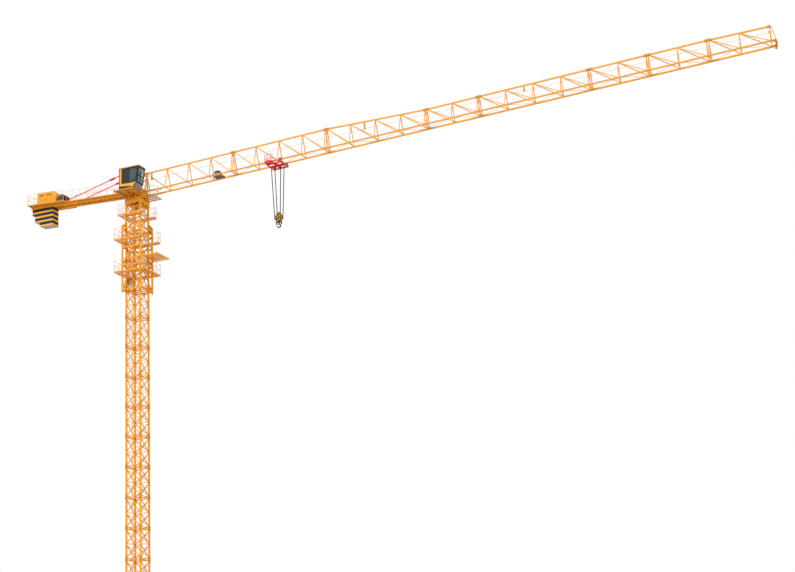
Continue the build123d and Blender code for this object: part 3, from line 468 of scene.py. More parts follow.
def row_tree():
    """A row of like bars: a line of points with a bar on each."""
    tree, sizes = sized_tree("row_of_bars", (
        ("Count", "Int", 4), ("First", "Vector", (0, 0, 0)), ("Step", "Vector", (0, 0, 1)),
        ("Bar Size", "Vector", (1, 1, 1)), ("Bar Turn", "Vector", (0, 0, 0))))
    line = put(tree, "GeometryNodeMeshLine", {"Count": sizes["Count"], "Start Location": sizes["First"],
                                              "Offset": sizes["Step"]})
    bar = put(tree, "GeometryNodeMeshCube", {"Size": sizes["Bar Size"]})
    turn = put(tree, "FunctionNodeEulerToRotation", {"Euler": sizes["Bar Turn"]})
    spread = put(tree, "GeometryNodeInstanceOnPoints", {
        "Points": line.outputs[0], "Instance": bar.outputs["Mesh"], "Rotation": turn.outputs[0]})
    return closed(tree, spread, sizes)


def ring_tree():
    """A ring of hexagon bolts round an upright axis."""
    tree, sizes = sized_tree("ring_of_bolts", (
        ("Count", "Int", 24), ("Ring Radius", "Float", 0.5), ("Centre", "Vector", (0, 0, 0)),
        ("Head Radius", "Float", 0.015), ("Head Height", "Float", 0.012)))
    ring = put(tree, "GeometryNodeMeshCircle", {"Vertices": sizes["Count"], "Radius": sizes["Ring Radius"]})
    head = put(tree, "GeometryNodeMeshCylinder", {"Vertices": 6, "Radius": sizes["Head Radius"],
                                                  "Depth": sizes["Head Height"]})
    spread = put(tree, "GeometryNodeInstanceOnPoints", {
        "Points": ring.outputs[0], "Instance": head.outputs["Mesh"]})
    moved = put(tree, "GeometryNodeTransform", {"Geometry": spread.outputs[0],
                                                "Translation": sizes["Centre"]})
    return closed(tree, moved, sizes)


def grown(name, body, material, tree, runs):
    """Several rows or rings of one tree, turned into one plain mesh on one body."""
    bm = bmesh.new()
    for run in runs:
        holder = added(name, bpy.data.meshes.new(name))
        grow = holder.modifiers.new("grow", "NODES")
        grow.node_group = tree
        for item in tree.interface.items_tree:
            if item.in_out == "INPUT":
                grow[item.identifier] = material if item.name == "Finish" else run[item.name]
        shown = holder.evaluated_get(bpy.context.evaluated_depsgraph_get())
        mesh = bpy.data.meshes.new_from_object(shown)
        bm.from_mesh(mesh)
        holder.modifiers.remove(grow)
        bpy.data.objects.remove(holder)
        bpy.data.meshes.remove(mesh)
    return settle(name, body, material, bm)


rows, rings = row_tree(), ring_tree()


def run_of(count, first, step, size, turn=(0, 0, 0)):
    return {"Count": count, "First": tuple(first), "Step": tuple(step), "Bar Size": tuple(size),
            "Bar Turn": tuple(turn)}


# Mast: ladder, middle rails and bolted joints
def ladder_rails(low, high, ties):
    def draw(bm):
        for y in (-LADDER_HALF, LADDER_HALF):
            slab(bm, (LADDER_X - 0.009, y - 0.005, low), (LADDER_X + 0.009, y + 0.005, high))
            for z in ties:
                lath(bm, (LADDER_X, y, z), (-HALF + 0.02, y, z), 0.014)
    return draw


def rungs(count, low):
    size = (RUNG_SIZE, 2 * LADDER_HALF, RUNG_SIZE)
    return [run_of(count, (LADDER_X, 0, low), (0, 0, RUNG_PITCH), size)]


piece("mast_ladder_rails", "mast", rail_paint,
      ladder_rails(0.32, MAST_TOP - 0.02, [z - 0.046 for z in SECTION_TOPS]))
grown("mast_ladder_rungs", "mast", rail_paint, rows, rungs(148, 0.45))
piece("transition_ladder_rails", CAGE, rail_paint,
      ladder_rails(MAST_TOP + 0.05, TRANSITION_TOP + 0.2, [TRANSITION_DECK - 0.046]))
grown("transition_ladder_rungs", CAGE, rail_paint, rows, rungs(10, MAST_TOP + 0.15))


def face_rails(count, z, length, width, height):
    """Level rails on the mast's four faces, one to a section."""
    step = (0, 0, SECTION)
    return ([run_of(count, (0, y * HALF, z), step, (length, width, height)) for y in SIDES]
            + [run_of(count, (x * HALF, 0, z), step, (width, length, height)) for x in SIDES])


grown("mast_middle_rails", "mast", crane_paint, rows,
      face_rails(SECTIONS, MAST_BASE + SECTION / 2, 2 * HALF - 0.07, 0.020, 0.020))
grown("mast_joint_rails", "mast", crane_paint, rows,
      face_rails(SECTIONS - 1, MAST_BASE + SECTION + 0.045, 2 * HALF - 0.1, 0.03, 0.036))


@drawn("mast", crane_paint)
def mast_joint_bolts(bm):
    face = HALF + 0.048
    for z in [MAST_BASE] + SECTION_TOPS:
        for x, y in CORNERS:
            for lift in (-0.09, -0.035):
                hex_head(bm, (x * face, y * HALF, z + lift), (x, 0, 0), 0.012, 0.008)
                hex_head(bm, (x * HALF, y * face, z + lift), (0, y, 0), 0.012, 0.008)


def collars(count, lift):
    return [run_of(count, (x * HALF, y * HALF, MAST_BASE + SECTION + lift), (0, 0, SECTION),
                   (0.096, 0.096, 0.12)) for x, y in CORNERS]


grown("mast_leg_collars", "mast", shaded_joint_paint, rows,
      collars(SECTIONS, -0.0602) + collars(SECTIONS - 1, 0.0602))


@drawn("mast", crane_paint)
def mast_brace_plates(bm):
    """Small plates where the crossed bars meet the legs."""
    for k in range(SECTIONS):
        for level in (0.10, 0.75, 1.40):
            z = MAST_BASE + SECTION * k + level
            for x, y in CORNERS:
                for flip, along, across in ((False, x, y), (True, y, x)):
                    root, tip = along * (HALF - 0.038), along * (HALF - 0.108)
                    face = across * (HALF + 0.012)
                    outline = [(root, z - 0.06), (tip, z), (root, z + 0.06)]
                    plate(bm, [turned(flip, a, face, c) for a, c in outline],
                          turned(flip, 0, -across * 0.006, 0))


# Climbing frame: gratings, railings, guide rollers and guys
def deck_strips(half, hole, open_front):
    """The walkways of a deck round the mast, each as its two floor corners."""
    strips = [((-half, -half), (half, -hole)), ((-half, hole), (half, half)),
              ((-half, -hole), (-hole, hole))]
    return strips if open_front else strips + [((hole, -hole), (half, hole))]


decks = {"lower_platform": (LOWER_DECK, DECK_HALF, DECK_HOLE, False),
         "upper_platform": (UPPER_DECK, DECK_HALF, DECK_HOLE, True),
         "transition_platform": (TRANSITION_DECK, TRANSITION_HALF, TRANSITION_HOLE, True)}


def railing_sides(top, half, hole, open_front):
    """Each railing of a deck as its two floor corners."""
    r, gap = half - RAIL_INSET, hole + RAIL_INSET
    sides = [((-r, -r), (r, -r)), ((-r, r), (r, r)), ((-r, -r), (-r, r))]
    sides += [((r, gap), (r, r)), ((r, -r), (r, -gap))] if open_front else [((r, -r), (r, r))]
    return [((*a, top), (*b, top)) for a, b in sides]


def deck_frame(top, half, hole, open_front):
    """Edge bars and toe boards round each walkway and bearers across it, under the grating."""
    edge, mid, low = 0.024, top - 0.025, top - 0.03

    def draw(bm):
        for a, b in railing_sides(top, half, hole, open_front):
            across = 1 if a[1] == b[1] else 0
            out = Vector((0, 0, -0.019))
            out[across] = math.copysign(0.009, a[across])
            lath(bm, Vector(a) + out, Vector(b) + out, 0.008, 0.064)
        for (x0, y0), (x1, y1) in deck_strips(half, hole, open_front):
            for y in (y0 + edge / 2, y1 - edge / 2):
                lath(bm, (x0, y, mid), (x1, y, mid), edge, 0.05)
            for x in (x0 + edge / 2, x1 - edge / 2):
                lath(bm, (x, y0 + edge, mid), (x, y1 - edge, mid), edge, 0.05)
            for k in range(1, 4):
                if x1 - x0 > y1 - y0:
                    x = x0 + (x1 - x0) * k / 4
                    lath(bm, (x, y0 + edge, low), (x, y1 - edge, low), 0.012, 0.03)
                else:
                    y = y0 + (y1 - y0) * k / 4
                    lath(bm, (x0 + edge, y, low), (x1 - edge, y, low), 0.012, 0.03)
    return draw


def grating_runs(top, half, hole, open_front):
    """Thin bars laid along and across each walkway."""
    runs = []
    for (x0, y0), (x1, y1) in deck_strips(half, hole, open_front):
        wide, deep = x1 - x0, y1 - y0
        across = int((deep - 0.06) / 0.03)
        along = int((wide - 0.06) / 0.09)
        runs.append(run_of(across, ((x0 + x1) / 2, y0 + 0.04, top - 0.004),
                           (0, (deep - 0.08) / (across - 1), 0), (wide - 0.02, 0.004, 0.006)))
        runs.append(run_of(along, (x0 + 0.04, (y0 + y1) / 2, top - 0.008),
                           ((wide - 0.08) / (along - 1), 0, 0), (0.005, deep - 0.02, 0.005)))
    return runs


for name, facts in decks.items():
    edges = piece(f"{name}_edges", CAGE, crane_paint, deck_frame(*facts))
    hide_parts(name)
    grown(f"{name}_grating", CAGE, deck_paint, rows, grating_runs(*facts))


@drawn(CAGE, rail_paint)
def railing_infill(bm):
    """Thin posts and crossed bars in the lower half of each railing."""
    low, high, post = (Vector((0, 0, z)) for z in (0.05, 0.285, POST_HEIGHT))
    for a, b in [side for facts in decks.values() for side in railing_sides(*facts)]:
        start, end = Vector(a), Vector(b)
        bays = max(1, round((end - start).length / 0.43))
        for k in range(bays):
            p, q = start.lerp(end, k / bays), start.lerp(end, (k + 1) / bays)
            lath(bm, p + low, q + high, 0.005)
            lath(bm, q + low, p + high, 0.005)
            if k:
                lath(bm, p, p + post, POST_SIZE)


@drawn(CAGE, crane_paint)
def guide_rollers(bm):
    """Rollers beside the mast's legs, each in a fork on a back plate."""
    for z in (CAGE_BOTTOM + 0.28, CAGE_BOTTOM + 1.6, CAGE_TOP - 0.45):
        for x, y in CORNERS:
            leg, centre, face, back = x * HALF, y * 0.478, y * 0.507, y * 0.515
            tube(bm, (leg - 0.035, centre, z), (leg + 0.035, centre, z), 0.022, 14)
            for a, b in ((-0.05, -0.038), (0.038, 0.05)):
                slab(bm, (leg + a, centre, z - 0.012), (leg + b, back, z + 0.012))
            slab(bm, (leg - 0.05, face, z - 0.05), (leg + (0.142 if x > 0 else 0.05), back, z + 0.05))
            if x < 0:
                slab(bm, (-CAGE_HALF, face, z - 0.05), (-0.4502, back, z + 0.05))


@drawn(CAGE, pale_line)
def feeding_rail_guys(bm):
    for y in (-FEED_Y, FEED_Y):
        foot = (FEED_END - 0.03, y, FEED_Z + 0.025)
        tube(bm, foot, (DECK_HALF - RAIL_INSET, y, UPPER_DECK + 0.5), 0.0028, 6)
        tube(bm, foot, (foot[0] - 0.02, y, foot[2] + 0.045), 0.012, 8)


@drawn(CAGE, steel)
def feeding_rail_rollers(bm):
    for x in (0.72, 0.95, 1.18, 1.41):
        for y in (-0.1205, 0.1205):
            cross_pin(bm, (x, y, FEED_Z + 0.038), 0.03, 0.014, 12)


@drawn(CAGE, crane_paint)
def feeding_rail_flanges(bm):
    """Wide flanges along each feeding rail."""
    for k in (-3, -1, 1, 3):
        y = FEED_Y * k / 5
        for z in (FEED_Z - 0.0215, FEED_Z + 0.0215):
            lath(bm, (0.63, y, z), (FEED_END - 0.05, y, z), 0.09, 0.007)


@drawn(CAGE, crane_paint)
def cage_brace_plates(bm):
    """Plates at the ends and the middle of each level of the cage's sides."""
    corner = [(0, -0.03), (0.11, -0.03), (0.11, 0.03), (0.05, 0.14), (0, 0.14)]
    middle = [(-0.09, -0.03), (0.09, -0.03), (0.05, -0.1), (-0.05, -0.1)]
    outlines = [[(x * (CAGE_HALF - 0.03 - a), c) for a, c in corner] for x in SIDES] + [middle]
    for y in SIDES:
        for z in CAGE_LEVELS:
            for outline in outlines:
                plate(bm, [(a, y * (CAGE_HALF + 0.028), z + c) for a, c in outline], (0, y * 0.006, 0))


@drawn(CAGE, crane_paint)
def cage_shoulder_plates(bm):
    """Sloping plates that close the cage's upper corners against the transition legs."""
    high, outer, inner = CAGE_TOP + 0.23, 0.577, 0.44
    outline = [(outer, outer - 0.2, CAGE_TOP + 0.042), (inner, outer - 0.2, high), (inner, inner, high),
               (outer, outer, CAGE_TOP + 0.048)]
    for x, y in CORNERS:
        for flip in (False, True):
            points = [turned(flip, *point) for point in outline]
            plate(bm, [(x * a, y * b, z) for a, b, z in points], (0, 0, 0.012))


@drawn(CAGE, pump_paint)
def pump_fittings(bm):
    """Motor, filter, foot, pipes and bolts of the hydraulic pump."""
    x, middle, top = -0.673, 0.3, LOWER_DECK - 0.05
    face, pipe_x = x - 0.09, -0.535
    tube(bm, (face, middle - 0.07, top - 0.17), (x - 0.125, middle - 0.07, top - 0.17), 0.06, 18)
    tube(bm, (face, middle + 0.07, top - 0.12), (x - 0.115, middle + 0.07, top - 0.12), 0.035, 16)
    slab(bm, (x - 0.07, middle - 0.11, top - 0.33), (x + 0.07, middle + 0.11, top - 0.3))
    for y in (middle - 0.05, middle + 0.05):
        tube(bm, (x + 0.085, y, top - 0.2), (pipe_x, y, top - 0.2), 0.009, 8)
        tube(bm, (pipe_x, y, top - 0.205), (pipe_x, y, top + 0.35), 0.009, 8)
    for y in (middle - 0.1, middle + 0.1):
        for drop in (0.27, 0.04):
            hex_head(bm, (face, y, top - drop), (-1, 0, 0))


@drawn(CAGE, crane_paint)
def slewing_drum_casing(bm):
    """Square casing round the slewing ring, arched below on each face."""
    outer, inner, top = 0.459, 0.451, TABLE_BOTTOM - 0.01
    for flip, wide in ((False, outer), (True, inner)):
        outline = [(wide, top), (-wide, top)]
        for k in range(13):
            t = -1 + k / 6
            outline.append((wide * t, TRANSITION_TOP - 0.15 + 0.07 * math.cos(t * math.pi / 2)))
        for side in SIDES:
            points = [turned(flip, a, side * inner, z) for a, z in outline]
            plate(bm, points, turned(flip, 0, side * 0.008, 0))


@drawn(CAGE, hook_paint)
def slewing_drum_hole_shade(bm):
    """Black discs low on the casing, beside two of its corners: painted shade standing for two dark holes.
    """
    z = TRANSITION_TOP - 0.105
    for side in SIDES:
        tube(bm, (-side * 0.30, side * 0.452, z), (-side * 0.30, side * 0.464, z), 0.058, 16)
        tube(bm, (-side * 0.452, side * 0.26, z), (-side * 0.464, side * 0.26, z), 0.058, 16)


# Upper crane: jib
@drawn(UPPER, crane_paint)
def jib_plan_bracing(bm):
    for k in range(PANELS):
        side = 0.28 if k % 2 else -0.28
        lath(bm, along_jib(PANEL * k + 0.06, -side, 0), along_jib(PANEL * (k + 1) - 0.06, side, 0), 0.014)


@drawn(UPPER, shaded_joint_paint)
def jib_joint_pins(bm):
    for k in JOINTS_AT:
        u = min(max(PANEL * k, 0.06), JIB_LENGTH - 0.06)
        for shift in ((-0.05, 0.05) if 0 < k < PANELS else (0,)):
            for low, high in ((-0.3292, -0.2555), (0.2555, 0.3292)):
                tube(bm, along_jib(u + shift, low, 0.008), along_jib(u + shift, high, 0.008), 0.018, 10)
            cross_pin(bm, along_jib(u + shift, 0, jib_depth(u)), 0.056, 0.022, 10)


@drawn(UPPER, shaded_joint_paint)
def jib_joint_lugs(bm):
    """Thickened chord ends at each joint of the jib."""
    for k in JOINTS_AT:
        for side in SIDES:
            if (k, side) in ((0, -1), (PANELS, 1)):
                continue
            near, far = PANEL * k + side * 0.001, PANEL * k + side * 0.14
            for y in (-0.2915, 0.2915):
                lath(bm, along_jib(near, y, 0.006), along_jib(far, y, 0.006), 0.07, 0.066)
            lath(bm, along_jib(near, 0, jib_depth(near)), along_jib(far, 0, jib_depth(far)), 0.096)


@drawn(UPPER, pale_line)
def trolley_drive_lines(bm):
    for y in (-0.05, 0.05):
        tube(bm, along_jib(0.15, y, 0.11), along_jib(3.99, y, 0.11), 0.004, 6)
        tube(bm, along_jib(4.23, y, 0.11), along_jib(29.9, y, 0.09), 0.004, 6)


@drawn(UPPER, shaded_joint_paint)
def rope_guide_rollers(bm):
    """Cheek plates with a roller, which hang from the top chord, and the rope's roller at the tip."""
    for u in BRACKETS_AT:
        w = rope_level(u)
        for y in (-0.02, 0.02):
            lath(bm, along_jib(u, y, jib_depth(u) - 0.029), along_jib(u, y, w - 0.03), 0.012, 0.06)
        cross_pin(bm, along_jib(u, 0, w + 0.045), 0.034, 0.042, 18)
    cross_pin(bm, along_jib(29.93, 0, 0.53), 0.02, 0.05, 20)


@drawn(UPPER, shaded_joint_paint)
def jib_end_frame(bm):
    """Chord ends past the last posts, the beam across them and the rope's end fitting below it."""
    beam_u, fitting_u = JIB_LENGTH + 0.139, JIB_LENGTH + 0.1
    for y in (-CHORD_Y, CHORD_Y):
        lath(bm, along_jib(JIB_LENGTH, y, 0), along_jib(JIB_LENGTH + 0.165, y, 0), 0.05)
    lath(bm, along_jib(beam_u, -0.324, 0), along_jib(beam_u, 0.324, 0), 0.048)
    lath(bm, along_jib(fitting_u, 0.2, -0.01), along_jib(fitting_u, 0.2, -0.17), 0.03, 0.1)
    cross_pin(bm, along_jib(fitting_u, 0.2, -0.13), 0.04, 0.045, 16)


@drawn(UPPER, winch_paint)
def trolley_winch_drive(bm):
    """Drive motor, gearbox and ribs of the trolley winch."""
    u, middle = 3.29 * PANEL, 0.16
    tube(bm, along_jib(u + 0.05, -0.16, 0.15), along_jib(u + 0.05, -0.27, 0.15), 0.075, 20)
    tube(bm, along_jib(u - 0.05, 0.155, middle), along_jib(u - 0.05, 0.24, middle), 0.06, 18)
    for k in range(6):
        rib = u - 0.11 + 0.044 * k
        lath(bm, along_jib(rib, -0.152, middle), along_jib(rib, 0.152, middle), 0.012, 0.218)
    for a in (-0.22, 0.22):
        for y in (-0.27, 0.27):
            hex_head(bm, along_jib(u + a, y, 0.0483), (0, 0, 1), 0.013, 0.01)


# Upper crane: turntable, tower head and front platform
@drawn(UPPER, crane_paint)
def turntable_ribs(bm):
    low = TABLE_BOTTOM + 0.04
    for side in SIDES:
        for x in (-0.33, -0.04, 0.29):
            y, edge = side * 0.35, side * 0.455
            plate(bm, [(x, y, low), (x, edge, low), (x, edge, low + 0.03), (x, y, low + 0.1)], (0.014, 0, 0))


grown("slewing_ring_bolts", CAGE, dark_steel, rings,
      [{"Count": 36, "Ring Radius": 0.40, "Centre": (0, 0, TRANSITION_TOP - 0.005), "Head Radius": 0.012,
        "Head Height": 0.012}])


@drawn(UPPER, dark_steel)
def tower_head_pins(bm):
    for y in (-TIE_Y, TIE_Y):
        for x, z in ((-0.47, TIE_TOP_Z), (-0.41, 24.99), (0.41, 24.99)):
            cross_pin(bm, (x, y, z), 0.05, 0.02, 10)
    cross_pin(bm, along_jib(0.02, 0, jib_depth(0.02)), 0.06, 0.025, 12)


@drawn(UPPER, rail_paint)
def front_platform_railing(bm):
    start, end, side = FRONT_LOW + 0.25, FRONT_HIGH - RAIL_INSET, 0.358
    for z in (FRONT_TOP + 0.26, FRONT_TOP + 0.5):
        lath(bm, (end, -side, z), (end, side, z), POST_SIZE)
        for y in (-side, side):
            lath(bm, (start, y, z), (end, y, z), POST_SIZE)
    posts = [(x, y) for x in (start, end, 0.97) for y in (-side, side)]
    for x, y in posts + [(end, 0)]:
        lath(bm, (x, y, FRONT_TOP - 0.02), (x, y, FRONT_TOP + 0.505), POST_SIZE)


grown("front_platform_bars", UPPER, deck_paint, rows,
      [run_of(9, (FRONT_LOW + 0.08, 0, FRONT_TOP + 0.004), (0.075, 0, 0), (0.012, 0.70, 0.012))])

# Upper crane: counter-jib
back = along_rear(1, 0, 0) - along_rear(0, 0, 0)


def rear_rows(count, u, y, w, step, size):
    """A row of bars on each side of the counter-jib, square to its floor."""
    return [run_of(count, along_rear(u, side * y, w), step, size, REAR_TURN) for side in SIDES]


grown("counter_jib_stiffeners", UPPER, crane_paint, rows,
      rear_rows(10, 0.025, 0.271, 0.055, back * 0.65, (0.014, 0.014, 0.106)))
grown("counter_jib_deck_joists", UPPER, crane_paint, rows,
      rear_rows(15, 0.18, 0.325, 0.095, back * 0.235, (0.018, 0.12, 0.03))
      + rear_rows(10, 3.70, 0.44, 0.095, back * 0.235, (0.018, 0.35, 0.03)))


@drawn(UPPER, crane_paint)
def counter_jib_edges(bm):
    """Angles along the deck's edges."""
    w, width, height = 0.108, 0.010, 0.034
    for side in SIDES:
        for start, end, y in ((0.01, 3.62, 0.3868), (3.63, 5.90, 0.6168)):
            lath(bm, along_rear(start, side * y, w), along_rear(end, side * y, w), width, height)
    lath(bm, along_rear(5.9018, -0.61, w), along_rear(5.9018, 0.61, w), width, height)


@drawn(UPPER, rail_paint)
def counter_jib_railing_posts(bm):
    """Thin posts between the railing's main posts."""
    for start, end, y in ((0.34, 3.615, 0.378), (3.645, 5.893, 0.608)):
        count = round((end - start) / 0.41)
        for k in range(1, count):
            u = start + (end - start) * k / count
            for side in SIDES:
                foot = along_rear(u, side * y, REAR_FLOOR)
                lath(bm, foot, foot + Vector((0, 0, POST_HEIGHT)), POST_SIZE)


@drawn(UPPER, red_paint)
def tie_bar_turnbuckles(bm):
    """Turnbuckle sleeves near the top of the tie bars, and the pins at both ends."""
    low = along_rear(3.705, 0, REAR_FLOOR + 0.036)
    for y in (-TIE_Y, TIE_Y):
        top, foot = Vector((TIE_TOP_X, y, TIE_TOP_Z)), Vector((low.x, y, low.z))
        mid, way = top.lerp(foot, 0.21), (foot - top).normalized()
        for length, radius in ((0.28, 0.055), (0.42, 0.036)):
            tube(bm, mid - way * (length / 2), mid + way * (length / 2), radius, 8)
        cross_pin(bm, top, 0.045, 0.022, 10)
        cross_pin(bm, foot, 0.045, 0.02, 10)


winch_floor = REAR_FLOOR + 0.06
drum_centre = along_rear(WINCH_U, 0, winch_floor + 0.19 + 0.04)


@drawn(UPPER, drum_lay)
def hoist_drum_rope(bm):
    """Hoist rope wound on the drum, one groove beside the next."""
    turns, steps, width = 26, 4, 0.5
    loops = []
    for k in range(turns * steps + 1):
        y = -width / 2 + width * k / (turns * steps)
        radius = 0.196 + 0.012 * abs(math.sin(math.pi * k / steps))
        points = [drum_centre + Vector((radius * a, y, radius * b)) for a, b in circle(28)]
        loops.append([bm.verts.new(p) for p in points])
    skin(bm, loops)
    bm.faces.new(loops[0])
    bm.faces.new(list(reversed(loops[-1])))


@drawn(UPPER, winch_paint)
def hoist_winch_drive(bm):
    """Bearing caps, brake cover and foot bolts of the hoist winch."""
    for side in SIDES:
        cap, end = Vector((0, side * 0.3, 0)), Vector((0, side * 0.345, 0))
        tube(bm, drum_centre + cap, drum_centre + end, 0.09, 20)
    motor = along_rear(WINCH_U - 0.17, 0, winch_floor + 0.08)
    tube(bm, motor + Vector((-0.02, -0.35, 0)), motor + Vector((-0.02, -0.302, 0)), 0.075, 20)
    for u in (WINCH_U - 0.23, WINCH_U + 0.23):
        for y in (-0.29, 0.29):
            hex_head(bm, along_rear(u, y, winch_floor), (0, 0, 1), 0.014, 0.012)


def in_cabinet(u, y, w):
    """A point given back from the cabinet's front, across the crane and above the rear floor."""
    return along_rear(CABINET_U + u, y, REAR_FLOOR + w)


@drawn(UPPER, crane_paint)
def cabinet_doors(bm):
    """Door leaves with their handles on both sides, and the roof sheet."""
    low, high = 0.02, 0.66
    for side in SIDES:
        for start, end, top in ((0.04, 0.16, high - 0.17), (0.2, 0.65, high), (0.69, 1.15, high)):
            outline = ((start, low), (end, low), (end, top), (start, top))
            plate(bm, [in_cabinet(u, side * 0.28, w) for u, w in outline], (0, side * 0.008, 0))
        for u in (0.61, 0.73):
            tube(bm, in_cabinet(u, side * 0.29, low + 0.28), in_cabinet(u, side * 0.29, low + 0.4), 0.008, 8)
    lath(bm, in_cabinet(0.17, 0, 0.706), in_cabinet(1.2, 0, 0.706), 0.57, 0.012)


louvre_step = along_rear(0, 0, 0.02) - along_rear(0, 0, 0)
grown("cabinet_louvres", UPPER, winch_paint, rows,
      [row for u in (CABINET_U + 0.42, CABINET_U + 0.92)
       for row in rear_rows(7, u, 0.289, REAR_FLOOR + 0.49, louvre_step, (0.3, 0.006, 0.009))])


# Upper crane: cab
@drawn(UPPER, crane_paint)
def cab_side_strips(bm):
    """Orange rear post and sill, one bent strip a side, raised from the dark shell."""
    outline = [(0.045, 0.14), (0.52, 0.10), (0.81, 0.03), (0.985, 0.21), (0.985, 0.235), (0.155, 0.245),
               (0.155, 1.06), (0.045, 1.06)]
    for y, side in CAB_SIDES:
        plate(bm, [cab_at(x, y, z) for x, z in outline], (0, side * 0.007, 0))


@drawn(UPPER, navy_paint)
def cab_side_panels(bm):
    """Dark plate behind the side window, and slim window frames."""
    panel = [(0.16, 0.25), (0.55, 0.25), (0.55, 1.03), (0.16, 1.03)]
    window = [(0.56, 0.25), (0.97, 0.25), (1.082, 1.0), (0.56, 1.0)]
    for y, side in CAB_SIDES:
        plate(bm, [cab_at(x, y, z) for x, z in panel], (0, side * 0.006, 0))
        corners = [cab_at(x, y + side * 0.002, z) for x, z in window]
        for start, end in zip(corners, corners[1:] + corners[:1]):
            lath(bm, start, end, 0.012, 0.03)


def front_point(y, share, out=0.0):
    """A point on the cab's leaning front, from its sill at 0 to its top at 1."""
    x, y, z = cab_at(1.03 + 0.13 * share, y, 0.21 + 0.85 * share)
    return Vector((x + out * 0.9885, y, z - out * 0.151))


@drawn(UPPER, seal_rubber)
def cab_front_mullions(bm):
    """Mullions and rails of the front window, and its wiper."""
    left, mid, right = CAB_OUTER + 0.05, (CAB_OUTER + CAB_INNER) / 2, CAB_INNER - 0.05
    for y in (left + 0.005, CAB_OUTER + 0.24, right - 0.005):
        lath(bm, front_point(y, 0.06, 0.001), front_point(y, 0.94, 0.001), 0.026, 0.014)
    for share in (0.07, 0.46, 0.93):
        lath(bm, front_point(left, share, 0.001), front_point(right, share, 0.001), 0.014, 0.026)
    lath(bm, front_point(mid, 0.12, 0.012), front_point(mid + 0.16, 0.42, 0.012), 0.01, 0.01)
    tube(bm, front_point(mid, 0.1), front_point(mid, 0.1, 0.016), 0.014, 10)


@drawn(UPPER, grille_paint)
def cab_step_plate(bm):
    """Ribbed grey plate on the chamfer under the front window."""
    low, high = Vector(cab_at(0.842, 0, 0.012)), Vector(cab_at(1.022, 0, 0.201))
    out = Vector((high.z - low.z, 0, low.x - high.x)).normalized()
    near, far = Vector((0, CAB_OUTER + 0.03, 0)), Vector((0, CAB_INNER - 0.03, 0))
    corners = [low + near, low + far, high + far, high + near]
    plate(bm, [corner + out * 0.001 for corner in corners], out * 0.008)
    inset = Vector((0, 0.02, 0))
    for k in range(7):
        rib = low.lerp(high, 0.08 + 0.14 * k) + out * 0.012
        tube(bm, rib + near + inset, rib + far - inset, 0.007, 8)


@drawn(UPPER, rail_paint)
def cab_grab_rails(bm):
    """Rain rails along the roof and a grab rail beside the door."""
    for y in (CAB_OUTER - 0.02, CAB_INNER + 0.02):
        lath(bm, cab_at(-0.02, y, 1.09), cab_at(1.18, y, 1.09), 0.012, 0.01)
    y, low, high = CAB_INNER - 0.05, 0.3, 0.85
    tube(bm, cab_at(-0.03, y, low), cab_at(-0.03, y, high), 0.008, 8)
    for z in (low, high):
        tube(bm, cab_at(-0.03, y, z), cab_at(0, y, z), 0.008, 8)


@drawn("cab_door", hook_paint)
def cab_door_handle(bm):
    face, grip, y = -0.026, -0.048, -0.75
    tube(bm, cab_at(grip, y, 0.45), cab_at(grip, y, 0.55), 0.007, 8)
    for z in (0.46, 0.54):
        tube(bm, cab_at(grip, y, z), cab_at(face, y, z), 0.006, 8)


# Trolley, ropes, block and hook
@drawn("trolley", dark_steel)
def trolley_bolts(bm):
    for side in SIDES:
        y, axis = side * TROLLEY_PLATE_Y, (0, side, 0)
        for u in (TROLLEY_U - 0.3078, TROLLEY_U + 0.3078):
            hex_head(bm, along_jib(u, y, 0.0143), axis, 0.022, 0.012)
            for w in (-0.12, -0.06):
                for a in (-0.045, 0.045):
                    hex_head(bm, along_jib(u + a, y, w), axis, 0.009, 0.006)


@drawn("trolley", red_paint)
def trolley_basket_bars(bm):
    """Thin bars that close the basket's railing, and its kick plate."""
    start, end, w, height = TROLLEY_U - 0.405, TROLLEY_U - 0.045, -0.11, 0.08
    for k in range(1, 8):
        u = start + (end - start) * k / 8
        lath(bm, along_jib(u, BASKET_Y, -0.15), along_jib(u, BASKET_Y, 0.04), 0.008)
    lath(bm, along_jib(start, BASKET_Y, w), along_jib(end, BASKET_Y, w), 0.006, height)
    for u in (start + 0.006, end - 0.006):
        lath(bm, along_jib(u, BASKET_Y, w), along_jib(u, -0.39, w), 0.006, height)


block_x = along_jib(TROLLEY_U, 0, -0.165).x
falls = ((0.3423, 0.2203, -0.04), (0.1577, 0.0823, 0.156))


def rope_falls(bm):
    """Four falls, each with points at its ends alone, so that they lengthen straight."""
    for top_x, low_x, low_z in falls:
        for side in SIDES:
            tube(bm, (block_x + side * top_x, 0, FALL_TOP), (block_x + side * low_x, 0, BLOCK_Z + low_z),
                 FALL_RADIUS, 10)


hoist_falls = piece("hoist_rope_falls", None, rope_lay, rope_falls)
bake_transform(hoist_falls)
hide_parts("hoist_ropes")


@drawn("hook_block", dark_steel)
def hook_block_pins(bm):
    """Sheave pins through the block's cheeks, and the bolts between the cheeks."""
    cheek, cap = 0.042, 0.058
    for side in SIDES:
        for x, z in ((-0.116, -0.04), (0.116, -0.04), (0, 0.156)):
            centre = (block_x + x, side * cap, BLOCK_Z + z)
            tube(bm, (block_x + x, side * cheek, BLOCK_Z + z), centre, 0.03, 16)
            hex_head(bm, centre, (0, side, 0), 0.018, 0.01)
        for x, z in ((-0.17, -0.12), (0.17, -0.12), (-0.05, 0.235), (0.05, 0.235)):
            hex_head(bm, (block_x + x, side * cheek, BLOCK_Z + z), (0, side, 0), 0.011, 0.008)


